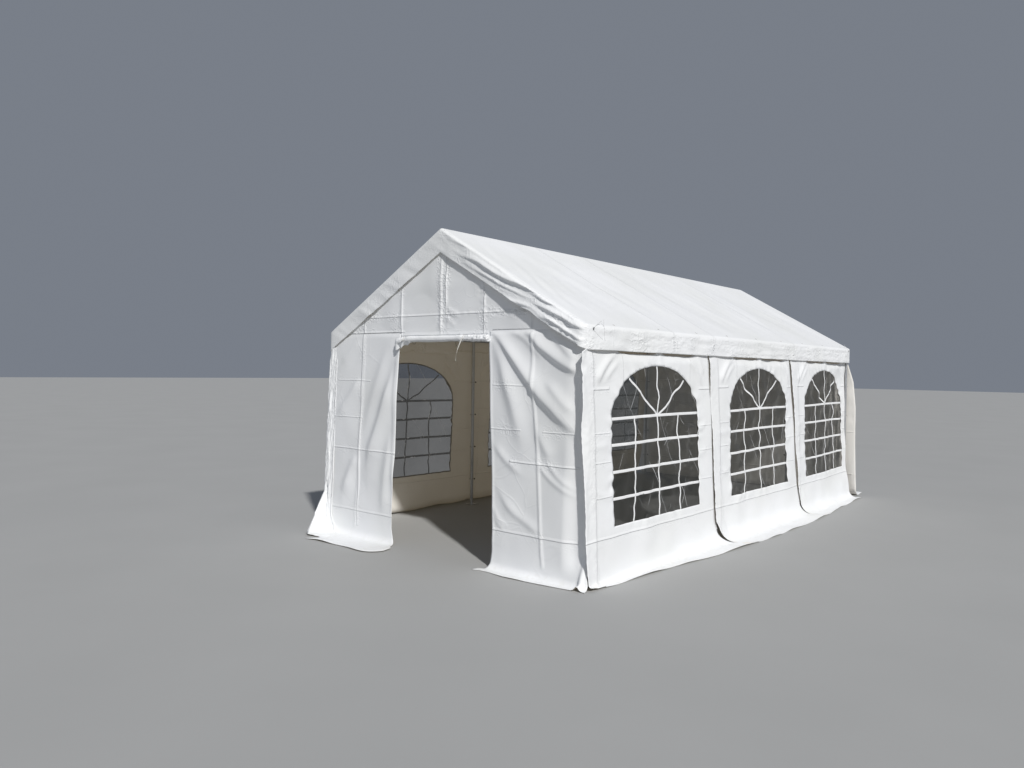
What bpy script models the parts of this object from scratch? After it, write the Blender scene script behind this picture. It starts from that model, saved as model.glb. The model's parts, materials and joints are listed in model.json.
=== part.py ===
"""Gable marquee tent: white fabric roof and walls on a frame of steel tubes.

Units are metres and +Z is up. The origin is on the ground under the middle of the tent.
+Y runs along the ridge from the front gable with the doorway to the back gable, and +X
points to the right long side. The tent has three bays, four frames and three arched
windows in each long side.
"""
import math

import bmesh
import bpy
from mathutils import Matrix, Vector

# Steel frame, measured between the centre lines of the tubes
FRAME_WIDTH = 3.0
BAY_LENGTH = 1.98
BAY_COUNT = 3
TUBE_RADIUS = 0.019
TUBE_SIDES = 16
SOCKET_LENGTH = 0.12
WELD_OVERRUN = 0.004
FOOT_PLATE_SIZE = 0.11
FOOT_PLATE_THICKNESS = 0.005
PEG_HOLE_RADIUS = 0.006
PEG_HOLE_SPACING = 0.08

# Roof cover with its valance, measured on the outside of the fabric
EAVE_HEIGHT = 1.933
RIDGE_HEIGHT = 2.799
COVER_OVERHANG = 0.034
VALANCE_DROP = 0.185
VALANCE_APEX_DROP = 0.214

# Fabric thickness and the clearance between pieces that touch
FABRIC = 0.003
TOUCH = 0.0003

# Long side walls, one fabric panel for each bay
SIDE_LEAN = 0.04
SIDE_PANEL_GAP = 0.012
SIDE_SKIRT_REACH = (0.01, 0.175, 0.215, 0.09)
HEM_BEND_RADIUS = 0.05
HEM_BEND_STEPS = 4

# Arched windows in the side walls, and how far behind the middle of its bay each one sits
WINDOW_OFFSETS = (0.0, 0.08, 0.08)
WINDOW_WIDTH = 1.40
WINDOW_SILL_HEIGHT = 0.413
WINDOW_SPRING_HEIGHT = 1.232
WINDOW_ARCH_RISE = 0.408
WINDOW_ARCH_STEPS = 24
FILM_THICKNESS = 0.002

# Front and back walls
GABLE_LEAN = 0.03
FRONT_WALL_HALF_WIDTH = 1.46
BACK_WALL_HALF_WIDTH = 1.515
FLAP_TOP_DROP = 0.06
DOOR_HEIGHT = 1.84
DOOR_LEFT_TOP = -0.505
DOOR_LEFT_FOOT = -0.57
DOOR_RIGHT_TOP = 0.575
DOOR_RIGHT_FOOT = 0.65
LEFT_FLAP_CORNER = -1.46
RIGHT_FLAP_CORNER = 1.515
LEFT_FLAP_SKIRT = 0.315
RIGHT_FLAP_SKIRT = 0.09
RIGHT_FLAP_CORNER_SKIRT = 0.03
BACK_SKIRT = 0.30

# Door cloth rolled up over the doorway, and the tie that hangs from it
ROLL_RADIUS = 0.0285
ROLL_LEFT = -0.519
ROLL_RIGHT = 0.584
ROLL_ABOVE_DOOR = 0.008
ROLL_SIDES = 20
TIE_X = 0.319
TIE_RADIUS = 0.004
TIE_DROP = 0.19
TIE_SWAY = 0.07
TIE_STEPS = 12
TIE_SIDES = 8

# Depth of the tools that cut a sheet of fabric right through
CUT_DEPTH = 0.06

# Values worked out from the sizes above
HALF_WIDTH = FRAME_WIDTH / 2
HALF_LENGTH = BAY_LENGTH * BAY_COUNT / 2
COVER_X = HALF_WIDTH + COVER_OVERHANG
COVER_Y = HALF_LENGTH + COVER_OVERHANG
ROOF_SLOPE = (RIDGE_HEIGHT - EAVE_HEIGHT) / COVER_X
ROOF_ANGLE = math.atan(ROOF_SLOPE)
TUBE_BELOW_COVER = (FABRIC + TOUCH + TUBE_RADIUS) / math.cos(ROOF_ANGLE)
RIDGE_Z = RIDGE_HEIGHT - TUBE_BELOW_COVER
EAVE_Z = RIDGE_Z - ROOF_SLOPE * HALF_WIDTH
HALF_FACET = math.pi / TUBE_SIDES
RAFTER_DIRECTION = Vector((-math.cos(ROOF_ANGLE), 0, math.sin(ROOF_ANGLE)))
SIDE_TOP_X = HALF_WIDTH + TUBE_RADIUS + TOUCH + FABRIC / 2
SIDE_ANGLE = math.atan(SIDE_LEAN)
GABLE_Y = HALF_LENGTH + TUBE_RADIUS + TOUCH + FABRIC / 2
FRAME_POSITIONS = [-HALF_LENGTH + BAY_LENGTH * i for i in range(BAY_COUNT + 1)]
FRAME_NAMES = ("front", "mid_front", "mid_back", "back")
BAY_NAMES = ("front", "middle", "back")
SIDES = {"left": -1, "right": 1}


def clear_scene():
    """Removes what the scene holds, so that the model starts empty."""
    for obj in list(bpy.data.objects):
        bpy.data.objects.remove(obj, do_unlink=True)


def make_collection(name):
    """Returns a new collection linked to the scene."""
    collection = bpy.data.collections.new(name)
    bpy.context.scene.collection.children.link(collection)
    return collection


def make_material(name, colour, roughness, metallic=0.0, alpha=1.0):
    """Returns a Principled BSDF material."""
    material = bpy.data.materials.new(name)
    material.use_nodes = True
    shader = material.node_tree.nodes["Principled BSDF"]
    shader.inputs["Base Color"].default_value = (*colour, 1.0)
    shader.inputs["Roughness"].default_value = roughness
    shader.inputs["Metallic"].default_value = metallic
    shader.inputs["Alpha"].default_value = alpha
    return material


def place(obj, collection):
    """Moves an object into one collection."""
    for old in list(obj.users_collection):
        old.objects.unlink(obj)
    collection.objects.link(obj)
    return obj


def finish_part(obj, material):
    """Puts a finished piece into the tent's collection with a material of its own."""
    obj.data.materials.clear()
    obj.data.materials.append(material.copy())
    return place(obj, TENT)


def make_tool(obj):
    """Marks an object as a tool that only shapes other pieces."""
    obj.hide_render = True
    obj.display_type = "WIRE"
    return place(obj, TOOLS)


def boolean(obj, tool, operation):
    """Adds an exact Boolean to a piece."""
    modifier = obj.modifiers.new(operation.lower(), "BOOLEAN")
    modifier.operation = operation
    modifier.object = make_tool(tool)
    modifier.solver = "EXACT"


def rod(name, start, end, radius, turn=0.0):
    """Returns a round bar between two points, made from a cylinder turned about its axis."""
    start, end = Vector(start), Vector(end)
    bpy.ops.mesh.primitive_cylinder_add(
        vertices=TUBE_SIDES, radius=radius, depth=(end - start).length, location=(start + end) / 2
    )
    obj = bpy.context.object
    obj.name = name
    direction = (end - start).to_track_quat("Z", "Y").to_matrix()
    obj.rotation_euler = (direction @ Matrix.Rotation(turn, 3, "Z")).to_euler()
    obj.data.shade_smooth()
    obj.data.set_sharp_from_angle(angle=math.radians(40))
    return obj


def block(name, centre, size, rotation=(0, 0, 0)):
    """Returns a box with its scale applied."""
    bpy.ops.mesh.primitive_cube_add(size=1, location=centre, rotation=rotation)
    obj = bpy.context.object
    obj.name = name
    obj.data.transform(Matrix.Diagonal((*size, 1)))
    return obj


def poly_curve(name, points, closed):
    """Returns a curve object with one straight-sided spline."""
    curve = bpy.data.curves.new(name, "CURVE")
    spline = curve.splines.new("POLY")
    spline.points.add(len(points) - 1)
    for point, co in zip(spline.points, points):
        point.co = (*co, 1)
    spline.use_cyclic_u = closed
    obj = bpy.data.objects.new(name, curve)
    bpy.context.scene.collection.objects.link(obj)
    return obj


def tube(name, points, radius, sides, material):
    """Makes a tube, bar or roll along a line of points, with closed ends."""
    obj = poly_curve(name, points, closed=False)
    obj.data.dimensions = "3D"
    obj.data.bevel_depth = radius
    obj.data.bevel_resolution = sides // 2 - 2
    obj.data.use_fill_caps = True
    return finish_part(obj, material)


def flat_outline(name, points, thickness):
    """Returns a flat sheet with the given outline in its own XY plane."""
    obj = poly_curve(name, [(u, v, 0) for u, v in points], closed=True)
    obj.data.dimensions = "2D"
    obj.data.fill_mode = "BOTH"
    obj.data.extrude = thickness / 2
    return obj


def to_mesh(obj):
    """Returns a welded mesh copy of a curve object and removes the curve."""
    evaluated = obj.evaluated_get(bpy.context.evaluated_depsgraph_get())
    mesh = bpy.data.meshes.new_from_object(evaluated)
    welded = bmesh.new()
    welded.from_mesh(mesh)
    bmesh.ops.remove_doubles(welded, verts=welded.verts, dist=0.00001)
    bmesh.ops.recalc_face_normals(welded, faces=welded.faces)
    welded.to_mesh(mesh)
    welded.free()
    copy = bpy.data.objects.new(obj.name, mesh)
    copy.matrix_world = obj.matrix_world
    bpy.context.scene.collection.objects.link(copy)
    bpy.data.objects.remove(obj, do_unlink=True)
    return copy


def add_thickness(obj, offset):
    """Thickens an open fabric surface by the fabric's thickness."""
    modifier = obj.modifiers.new("fabric", "SOLIDIFY")
    modifier.thickness = FABRIC
    modifier.offset = offset
    modifier.use_even_offset = True


def hanging_sheet(name, first_edge, second_edge):
    """Returns a fabric sheet stretched between two hanging edges of equal point counts."""
    sheet = bmesh.new()
    verts = [sheet.verts.new(co) for co in first_edge]
    edges = [sheet.edges.new(pair) for pair in zip(verts, verts[1:])]
    swept = bmesh.ops.extrude_edge_only(sheet, edges=edges)
    moved = [element for element in swept["geom"] if isinstance(element, bmesh.types.BMVert)]
    ends = {tuple(vert.co): co for vert, co in zip(verts, second_edge)}
    for vert in moved:
        vert.co = ends[tuple(vert.co)]
    bmesh.ops.recalc_face_normals(sheet, faces=sheet.faces)
    mesh = bpy.data.meshes.new(name)
    sheet.to_mesh(mesh)
    sheet.free()
    obj = bpy.data.objects.new(name, mesh)
    bpy.context.scene.collection.objects.link(obj)
    add_thickness(obj, offset=0)
    return obj


def hem_profile(top_out, top_height, lean, reach):
    """Lists (outward, height) points of a wall that leans out and turns onto the ground.

    The wall runs straight from its top to the bend, round the bend, and then lies on the
    ground for the given reach.
    """
    ground = FABRIC / 2
    angle = math.atan(lean)
    turn = math.pi / 2 - angle
    rise = HEM_BEND_RADIUS * (1 + math.cos(math.pi / 2 + angle))
    bend_height = ground + rise
    bend_out = top_out + lean * (top_height - bend_height)
    centre_out = bend_out + HEM_BEND_RADIUS * math.cos(angle)
    centre_height = ground + HEM_BEND_RADIUS
    points = [(top_out, top_height)]
    for step in range(HEM_BEND_STEPS + 1):
        theta = math.pi + angle + turn * step / HEM_BEND_STEPS
        out = centre_out + HEM_BEND_RADIUS * math.cos(theta)
        height = centre_height + HEM_BEND_RADIUS * math.sin(theta)
        points.append((out, height))
    points.append((centre_out + reach, ground))
    return points


def post(side_name, frame_index):
    """Makes one post with its foot plate, two peg holes and its welded eave head."""
    side = SIDES[side_name]
    name = f"post_{side_name}_{FRAME_NAMES[frame_index]}"
    x, y = side * HALF_WIDTH, FRAME_POSITIONS[frame_index]
    head = Vector((x, y, EAVE_Z))
    plate_size = (FOOT_PLATE_SIZE, FOOT_PLATE_SIZE, FOOT_PLATE_THICKNESS)
    obj = block(name, (x, y, FOOT_PLATE_THICKNESS / 2), plate_size)
    shaft_foot, shaft_top = (x, y, FOOT_PLATE_THICKNESS / 2), (x, y, EAVE_Z + WELD_OVERRUN)
    shaft = rod("shaft", shaft_foot, shaft_top, TUBE_RADIUS, HALF_FACET)
    boolean(obj, shaft, "UNION")
    rafter_way = Vector((RAFTER_DIRECTION.x * side, 0, RAFTER_DIRECTION.z))
    stub_start, stub_end = head - rafter_way * WELD_OVERRUN, head + rafter_way * SOCKET_LENGTH
    boolean(obj, rod("rafter_stub", stub_start, stub_end, TUBE_RADIUS), "UNION")
    first, last = stub_ends(frame_index)
    rail_stub = rod("rail_stub", (x, y + first, EAVE_Z), (x, y + last, EAVE_Z), TUBE_RADIUS)
    boolean(obj, rail_stub, "UNION")
    for way in (-1, 1):
        hole_x = x + way * PEG_HOLE_SPACING / 2
        hole_ends = ((hole_x, y, -CUT_DEPTH), (hole_x, y, CUT_DEPTH))
        boolean(obj, rod("peg_hole", *hole_ends, PEG_HOLE_RADIUS), "DIFFERENCE")
    finish_part(obj, STEEL)


def stub_ends(frame_index):
    """Returns how far the stubs for the rails reach before and after a frame."""
    closed_end = TUBE_RADIUS - WELD_OVERRUN
    first = -closed_end if frame_index == 0 else -SOCKET_LENGTH
    last = closed_end if frame_index == BAY_COUNT else SOCKET_LENGTH
    return first, last


def ridge_connector(frame_index):
    """Makes the welded ridge fitting that holds two rafters and the ridge tubes."""
    y = FRAME_POSITIONS[frame_index]
    first, last = stub_ends(frame_index)
    name = f"ridge_connector_{FRAME_NAMES[frame_index]}"
    obj = rod(name, (0, y + first, RIDGE_Z), (0, y + last, RIDGE_Z), TUBE_RADIUS)
    apex = Vector((0, y, RIDGE_Z))
    for side, turn in ((-1, 0), (1, HALF_FACET)):
        down = -Vector((RAFTER_DIRECTION.x * side, 0, RAFTER_DIRECTION.z))
        stub = rod("rafter_stub", apex, apex + down * SOCKET_LENGTH, TUBE_RADIUS, turn)
        boolean(obj, stub, "UNION")
    finish_part(obj, STEEL)


def rafter(side_name, frame_index):
    """Makes one rafter tube between its eave stub and its ridge stub."""
    side = SIDES[side_name]
    y = FRAME_POSITIONS[frame_index]
    way = Vector((RAFTER_DIRECTION.x * side, 0, RAFTER_DIRECTION.z))
    start = Vector((side * HALF_WIDTH, y, EAVE_Z)) + way * (SOCKET_LENGTH + TOUCH)
    end = Vector((0, y, RIDGE_Z)) - way * (SOCKET_LENGTH + TOUCH)
    tube(f"rafter_{side_name}_{FRAME_NAMES[frame_index]}", (start, end), TUBE_RADIUS, TUBE_SIDES, STEEL)


def rail(name, x, z, bay):
    """Makes one tube along the tent between the stubs of two frames."""
    start = FRAME_POSITIONS[bay] + SOCKET_LENGTH + TOUCH
    end = FRAME_POSITIONS[bay + 1] - SOCKET_LENGTH - TOUCH
    tube(f"{name}_{BAY_NAMES[bay]}", ((x, start, z), (x, end, z)), TUBE_RADIUS, TUBE_SIDES, STEEL)


def roof_cover():
    """Makes the roof fabric: two slopes folded at the ridge, with a valance all round."""
    cover = bmesh.new()
    outline = ((-COVER_X, EAVE_HEIGHT), (0, RIDGE_HEIGHT), (COVER_X, EAVE_HEIGHT))
    verts = [cover.verts.new((x, -COVER_Y, z)) for x, z in outline]
    edges = [cover.edges.new(pair) for pair in zip(verts, verts[1:])]
    swept = bmesh.ops.extrude_edge_only(cover, edges=edges)
    for element in swept["geom"]:
        if isinstance(element, bmesh.types.BMVert):
            element.co.y = COVER_Y
    rim = [edge for edge in cover.edges if edge.is_boundary]
    valance = bmesh.ops.extrude_edge_only(cover, edges=rim)
    for element in valance["geom"]:
        if isinstance(element, bmesh.types.BMVert):
            at_ridge = abs(element.co.x) < COVER_X / 2
            element.co.z -= VALANCE_APEX_DROP if at_ridge else VALANCE_DROP
    bmesh.ops.recalc_face_normals(cover, faces=cover.faces)
    mesh = bpy.data.meshes.new("roof_cover")
    cover.to_mesh(mesh)
    cover.free()
    obj = bpy.data.objects.new("roof_cover", mesh)
    bpy.context.scene.collection.objects.link(obj)
    add_thickness(obj, offset=-1)
    finish_part(obj, WHITE_FABRIC)


def window_outline(margin):
    """Lists the arched window's outline round the middle of its springing line.

    The margin makes the outline larger all round. The top is half an ellipse.
    """
    half = WINDOW_WIDTH / 2 + margin
    rise = WINDOW_ARCH_RISE + margin
    foot = WINDOW_SILL_HEIGHT - WINDOW_SPRING_HEIGHT - margin
    points = [(-half, foot), (half, foot)]
    for step in range(WINDOW_ARCH_STEPS + 1):
        angle = math.pi * step / WINDOW_ARCH_STEPS
        points.append((half * math.cos(angle), rise * math.sin(angle)))
    return points


def window_placement(side, y):
    """Returns the matrix of a window's plane, which leans with its wall."""
    outward = Vector((side * math.cos(SIDE_ANGLE), 0, math.sin(SIDE_ANGLE)))
    up = Vector((-side * math.sin(SIDE_ANGLE), 0, math.cos(SIDE_ANGLE)))
    along = up.cross(outward)
    x = side * (SIDE_TOP_X + SIDE_LEAN * (EAVE_Z - WINDOW_SPRING_HEIGHT))
    turn = Matrix((along, up, outward)).transposed().to_4x4()
    return Matrix.Translation((x, y, WINDOW_SPRING_HEIGHT)) @ turn


def side_bay(side_name, bay):
    """Makes one bay of a long wall: its fabric panel with a skirt, and its window film."""
    side = SIDES[side_name]
    start = FRAME_POSITIONS[bay] - TUBE_RADIUS
    end = FRAME_POSITIONS[bay + 1] - TUBE_RADIUS - SIDE_PANEL_GAP
    edges = []
    for y, reach in ((start, SIDE_SKIRT_REACH[bay]), (end, SIDE_SKIRT_REACH[bay + 1])):
        profile = hem_profile(SIDE_TOP_X, EAVE_Z, SIDE_LEAN, reach)
        edges.append([(side * out, y, height) for out, height in profile])
    wall = hanging_sheet(f"wall_{side_name}_{BAY_NAMES[bay]}", *edges)
    centre = (FRAME_POSITIONS[bay] + FRAME_POSITIONS[bay + 1]) / 2 + WINDOW_OFFSETS[bay]
    placement = window_placement(side, centre)
    cutter = flat_outline("window_cutter", window_outline(TOUCH), CUT_DEPTH)
    cutter.matrix_world = placement
    bpy.context.view_layer.update()
    boolean(wall, to_mesh(cutter), "DIFFERENCE")
    finish_part(wall, WHITE_FABRIC)
    film = flat_outline(f"window_{side_name}_{BAY_NAMES[bay]}", window_outline(0), FILM_THICKNESS)
    film.matrix_world = placement
    finish_part(film, FILM)


def rake_height(x):
    """Returns the highest point that a gable wall reaches under the roof fabric at x."""
    return RIDGE_HEIGHT - ROOF_SLOPE * abs(x) - (FABRIC + TOUCH) / math.cos(ROOF_ANGLE)


def flap_seam_height():
    """Returns the height of the seam from which the walls beside the doorway hang."""
    return rake_height(FRONT_WALL_HALF_WIDTH) - FLAP_TOP_DROP


def front_gable():
    """Makes the flat front wall between the two flaps, the doorway and the roof fabric."""
    half, corner = FRONT_WALL_HALF_WIDTH, rake_height(FRONT_WALL_HALF_WIDTH)
    seam = flap_seam_height()
    door_left, door_right = DOOR_LEFT_TOP + TOUCH, DOOR_RIGHT_TOP - TOUCH
    outline = [(-half, seam), (door_left, seam), (door_left, DOOR_HEIGHT)]
    outline += [(door_right, DOOR_HEIGHT), (door_right, seam), (half, seam)]
    outline += [(half, corner), (0, rake_height(0)), (-half, corner)]
    obj = flat_outline("front_gable", outline, FABRIC)
    obj.matrix_world = Matrix.Translation((0, -GABLE_Y, 0)) @ Matrix.Rotation(math.pi / 2, 4, "X")
    finish_part(obj, WHITE_FABRIC)


def front_flap(side_name, door_top, door_foot, corner, door_skirt, corner_skirt):
    """Makes the front wall beside the doorway, whose door edge hangs a little outwards."""
    top = flap_seam_height() - TOUCH
    door_profile = hem_profile(GABLE_Y, top, GABLE_LEAN, door_skirt)
    corner_profile = hem_profile(GABLE_Y, top, GABLE_LEAN, corner_skirt)
    door_edge = []
    for out, height in door_profile:
        share = (top - height) / top
        door_edge.append((door_top + (door_foot - door_top) * share, -out, height))
    corner_edge = [(corner, -out, height) for out, height in corner_profile]
    obj = hanging_sheet(f"front_wall_{side_name}", door_edge, corner_edge)
    finish_part(obj, WHITE_FABRIC)


def back_wall():
    """Makes the closed back wall in one sheet, cut off under the two roof slopes."""
    profile = [(GABLE_Y, RIDGE_HEIGHT)]
    profile += hem_profile(GABLE_Y, flap_seam_height(), GABLE_LEAN, BACK_SKIRT)
    edges = [[(side * BACK_WALL_HALF_WIDTH, out, height) for out, height in profile] for side in (-1, 1)]
    obj = hanging_sheet("back_wall", *edges)
    span = 2 * FRAME_WIDTH
    for side in SIDES.values():
        normal = Vector((side * math.sin(ROOF_ANGLE), 0, math.cos(ROOF_ANGLE)))
        centre = Vector((0, GABLE_Y, rake_height(0))) + normal * span / 2
        cutter = block("rake_cutter", centre, (2 * span, CUT_DEPTH, span), (0, side * ROOF_ANGLE, 0))
        boolean(obj, cutter, "DIFFERENCE")
    finish_part(obj, WHITE_FABRIC)


def door_roll():
    """Makes the door cloth rolled up in front of the wall over the doorway."""
    height = DOOR_HEIGHT + ROLL_ABOVE_DOOR
    flap_lean = GABLE_LEAN * (flap_seam_height() - height)
    y = -(GABLE_Y + flap_lean + FABRIC / 2 + TOUCH + ROLL_RADIUS / math.cos(math.atan(GABLE_LEAN)))
    roll_line = ((ROLL_LEFT, y, height), (ROLL_RIGHT, y, height))
    tube("door_roll", roll_line, ROLL_RADIUS, ROLL_SIDES, WHITE_FABRIC)
    tie_y = y - ROLL_RADIUS - TOUCH - TIE_RADIUS
    tie_line = []
    for step in range(TIE_STEPS + 1):
        fall = step / TIE_STEPS
        x = TIE_X - TIE_SWAY * math.sin(math.pi / 2 * fall)
        tie_line.append((x, tie_y, height - TIE_DROP * fall))
    tube("door_tie", tie_line, TIE_RADIUS, TIE_SIDES, WHITE_FABRIC)


clear_scene()
TENT = make_collection("marquee_tent")
TOOLS = make_collection("shaping_tools")
WHITE_FABRIC = make_material("white_fabric", (0.88, 0.89, 0.91), 0.45)
FILM = make_material("clear_film", (0.35, 0.37, 0.38), 0.08, alpha=0.35)
STEEL = make_material("galvanised_steel", (0.62, 0.64, 0.66), 0.38, metallic=1.0)

for frame in range(BAY_COUNT + 1):
    ridge_connector(frame)
    for side_of_tent in SIDES:
        post(side_of_tent, frame)
        rafter(side_of_tent, frame)

for bay_index in range(BAY_COUNT):
    rail("ridge_tube", 0, RIDGE_Z, bay_index)
    for side_of_tent, sign in SIDES.items():
        rail(f"eave_tube_{side_of_tent}", sign * HALF_WIDTH, EAVE_Z, bay_index)
        side_bay(side_of_tent, bay_index)

roof_cover()
front_gable()
front_flap("left", DOOR_LEFT_TOP, DOOR_LEFT_FOOT, LEFT_FLAP_CORNER, LEFT_FLAP_SKIRT, LEFT_FLAP_SKIRT)
front_flap(
    "right", DOOR_RIGHT_TOP, DOOR_RIGHT_FOOT, RIGHT_FLAP_CORNER, RIGHT_FLAP_SKIRT, RIGHT_FLAP_CORNER_SKIRT
)
back_wall()
door_roll()
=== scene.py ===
"""Looks of a white gable marquee tent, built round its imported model.

Units are metres and +Z is up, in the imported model's own frame: the origin is on the ground
under the middle of the tent, +Y runs from the front gable with the doorway to the back
gable, and +X points to the right long side.

Every sheet of cloth is a surface worked out on a grid. Its points start on the flat or
leaning plane of the wall or roof, and a relief of folds, waves and crumples moves them
along the plane's normal. Folds are placed by their lines on the real cloth.
"""
import json
import logging
from collections.abc import Callable, Sequence
from dataclasses import dataclass, field
from enum import Enum
from math import atan, hypot, pi, radians, sqrt

import bpy
import numpy as np
from mathutils import Matrix, Vector
from numpy import clip, concatenate, cos, interp, linspace, sin


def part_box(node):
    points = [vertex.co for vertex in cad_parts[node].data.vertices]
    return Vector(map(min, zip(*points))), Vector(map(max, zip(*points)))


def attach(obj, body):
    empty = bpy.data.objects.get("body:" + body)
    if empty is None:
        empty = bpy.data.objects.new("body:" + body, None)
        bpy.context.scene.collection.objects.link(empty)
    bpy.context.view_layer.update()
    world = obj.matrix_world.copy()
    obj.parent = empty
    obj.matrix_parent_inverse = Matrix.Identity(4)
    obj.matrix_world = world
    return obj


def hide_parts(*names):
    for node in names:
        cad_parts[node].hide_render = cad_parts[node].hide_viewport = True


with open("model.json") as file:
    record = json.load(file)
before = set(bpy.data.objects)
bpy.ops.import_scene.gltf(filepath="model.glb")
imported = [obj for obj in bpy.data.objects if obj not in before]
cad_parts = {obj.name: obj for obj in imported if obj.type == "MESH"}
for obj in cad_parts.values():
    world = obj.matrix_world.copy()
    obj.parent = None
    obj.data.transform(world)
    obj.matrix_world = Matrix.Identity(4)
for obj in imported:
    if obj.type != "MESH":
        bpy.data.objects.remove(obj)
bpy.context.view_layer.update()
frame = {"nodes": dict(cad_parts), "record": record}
BODY = "root"
CLOTH = 0.0016
LOWEST = 0.0016

log = logging.getLogger("marquee")
Array = np.ndarray
Point2 = tuple[float, float]
Point3 = tuple[float, float, float]
Colour = Point3
Values = tuple[float, ...]


def smooth(low: float, high: float, value: Array) -> Array:
    """Rises smoothly from 0 at low to 1 at high, or falls where high is the smaller.

    Formula: t squared times (3 - 2 t), with t the share of the way from low to high.
    """
    t = clip((value - low) / (high - low), 0.0, 1.0)
    return t * t * (3 - 2 * t)


def blend(first: Array, second: Array, share: Array) -> Array:
    """Returns the mix of two values: first where share is 0, second where it is 1."""
    return first + (second - first) * share


def hump(distance: Array, width: float, power: float = 2.0) -> Array:
    """Returns a bell that is 1 at distance 0: e to minus (distance / width) to the power."""
    return np.exp(-np.abs(distance / width) ** power)


def xyz(*parts: Array | float) -> Array:
    """Returns points, whose coordinates are the given parts."""
    return np.stack(np.broadcast_arrays(*parts), axis=-1)


def unit(vectors: Array) -> Array:
    """Returns vectors at length 1."""
    return vectors / np.linalg.norm(vectors, axis=-1, keepdims=True)


def curve_through(points: Sequence[Sequence[float]], count: int) -> Array:
    """Samples a smooth curve that passes through points.

    Formula: Catmull-Rom cubic between each pair of points, sampled evenly in parameter.

    Args:
        points: Points of any number of coordinates.
        count: Number of samples.

    Returns:
        An array of count points.
    """
    p = np.asarray(points, float)
    p = np.vstack([2 * p[0] - p[1], p, 2 * p[-1] - p[-2]])
    t = linspace(0, len(p) - 3, count)
    i = np.minimum(t.astype(int), len(p) - 4)
    f = (t - i)[:, None]
    a, b, c, d = (p[i + n] for n in range(4))
    return 0.5 * (2 * b + (c - a) * f + (2 * a - 5 * b + 4 * c - d) * f**2 + (3 * b - a - 3 * c + d) * f**3)


@dataclass(frozen=True)
class Ripples:
    """Random smooth waves in cloth, as a sum of sines whose ways and phases come from a seed.

    A heading of 0 runs the waves' crests across u, and a spread of pi makes them run all ways.
    """

    height: float
    shortest: float
    longest: float
    seed: int
    heading: float = 0.0
    spread: float = pi
    waves: int = 16

    def at(self, u: Array, v: Array) -> Array:
        """Gives the waves' height at flat coordinates.

        Formula: height times the root of 2/n times the sum of sines of 2 pi times the
        distance along each wave's way over its length, plus its phase.

        Args:
            u: First flat coordinate.
            v: Second flat coordinate.

        Returns:
            Heights in metres.
        """
        random = np.random.default_rng(self.seed)
        lengths = np.exp(random.uniform(np.log(self.shortest), np.log(self.longest), self.waves))
        ways = self.heading + random.uniform(-0.5, 0.5, self.waves) * self.spread
        phases = random.uniform(0, 2 * pi, self.waves)
        total = np.zeros(np.broadcast(u, v).shape)
        for length, way, phase in zip(lengths, ways, phases):
            total += sin(2 * pi * (u * cos(way) + v * sin(way)) / length + phase)
        return self.height * sqrt(2 / self.waves) * total


@dataclass(frozen=True)
class Crumple:
    """Creased cloth: sharp little ridges where random waves cross zero."""

    height: float
    size: float
    seed: int

    def at(self, u: Array, v: Array) -> Array:
        """Gives the creases' height at flat coordinates.

        Formula: for two scales, 0.8 minus the rounded absolute value of unit waves.

        Args:
            u: First flat coordinate.
            v: Second flat coordinate.

        Returns:
            Heights in metres.
        """
        total = np.zeros(np.broadcast(u, v).shape)
        for scale, share in ((1.0, 0.65), (0.47, 0.35)):
            wave = Ripples(1.0, 0.7 * self.size * scale, 1.9 * self.size * scale, self.seed + int(10 * scale))
            total += share * (0.8 - np.sqrt(wave.at(u, v) ** 2 + 0.012))
        return self.height * total


@dataclass(frozen=True)
class Facets:
    """Flat facets between straight creases, as coated cloth keeps from being folded."""

    height: float
    shortest: float
    longest: float
    seed: int
    waves: int = 6

    def at(self, u: Array, v: Array) -> Array:
        """Gives the facets' height at flat coordinates.

        Formula: the sum of triangle waves that run all ways, times a slowly changing share
        from 0.3 to 1; a triangle wave is the arcsine of 0.97 times the sine.

        Args:
            u: First flat coordinate.
            v: Second flat coordinate.

        Returns:
            Heights in metres.
        """
        random = np.random.default_rng(self.seed)
        total = np.zeros(np.broadcast(u, v).shape)
        for number in range(self.waves):
            length = np.exp(random.uniform(np.log(self.shortest), np.log(self.longest)))
            way = pi * (number + random.uniform(0.1, 0.9)) / self.waves
            phase = 2 * pi * (u * cos(way) + v * sin(way)) / length + random.uniform(0, 6.3)
            total += length / self.longest * np.arcsin(0.97 * sin(phase))
        share = 0.3 + 0.7 * smooth(-1.2, 1.2, Ripples(1.0, 0.5, 1.2, self.seed + 1).at(u, v))
        return self.height * sqrt(2 / self.waves) * total * share


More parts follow.
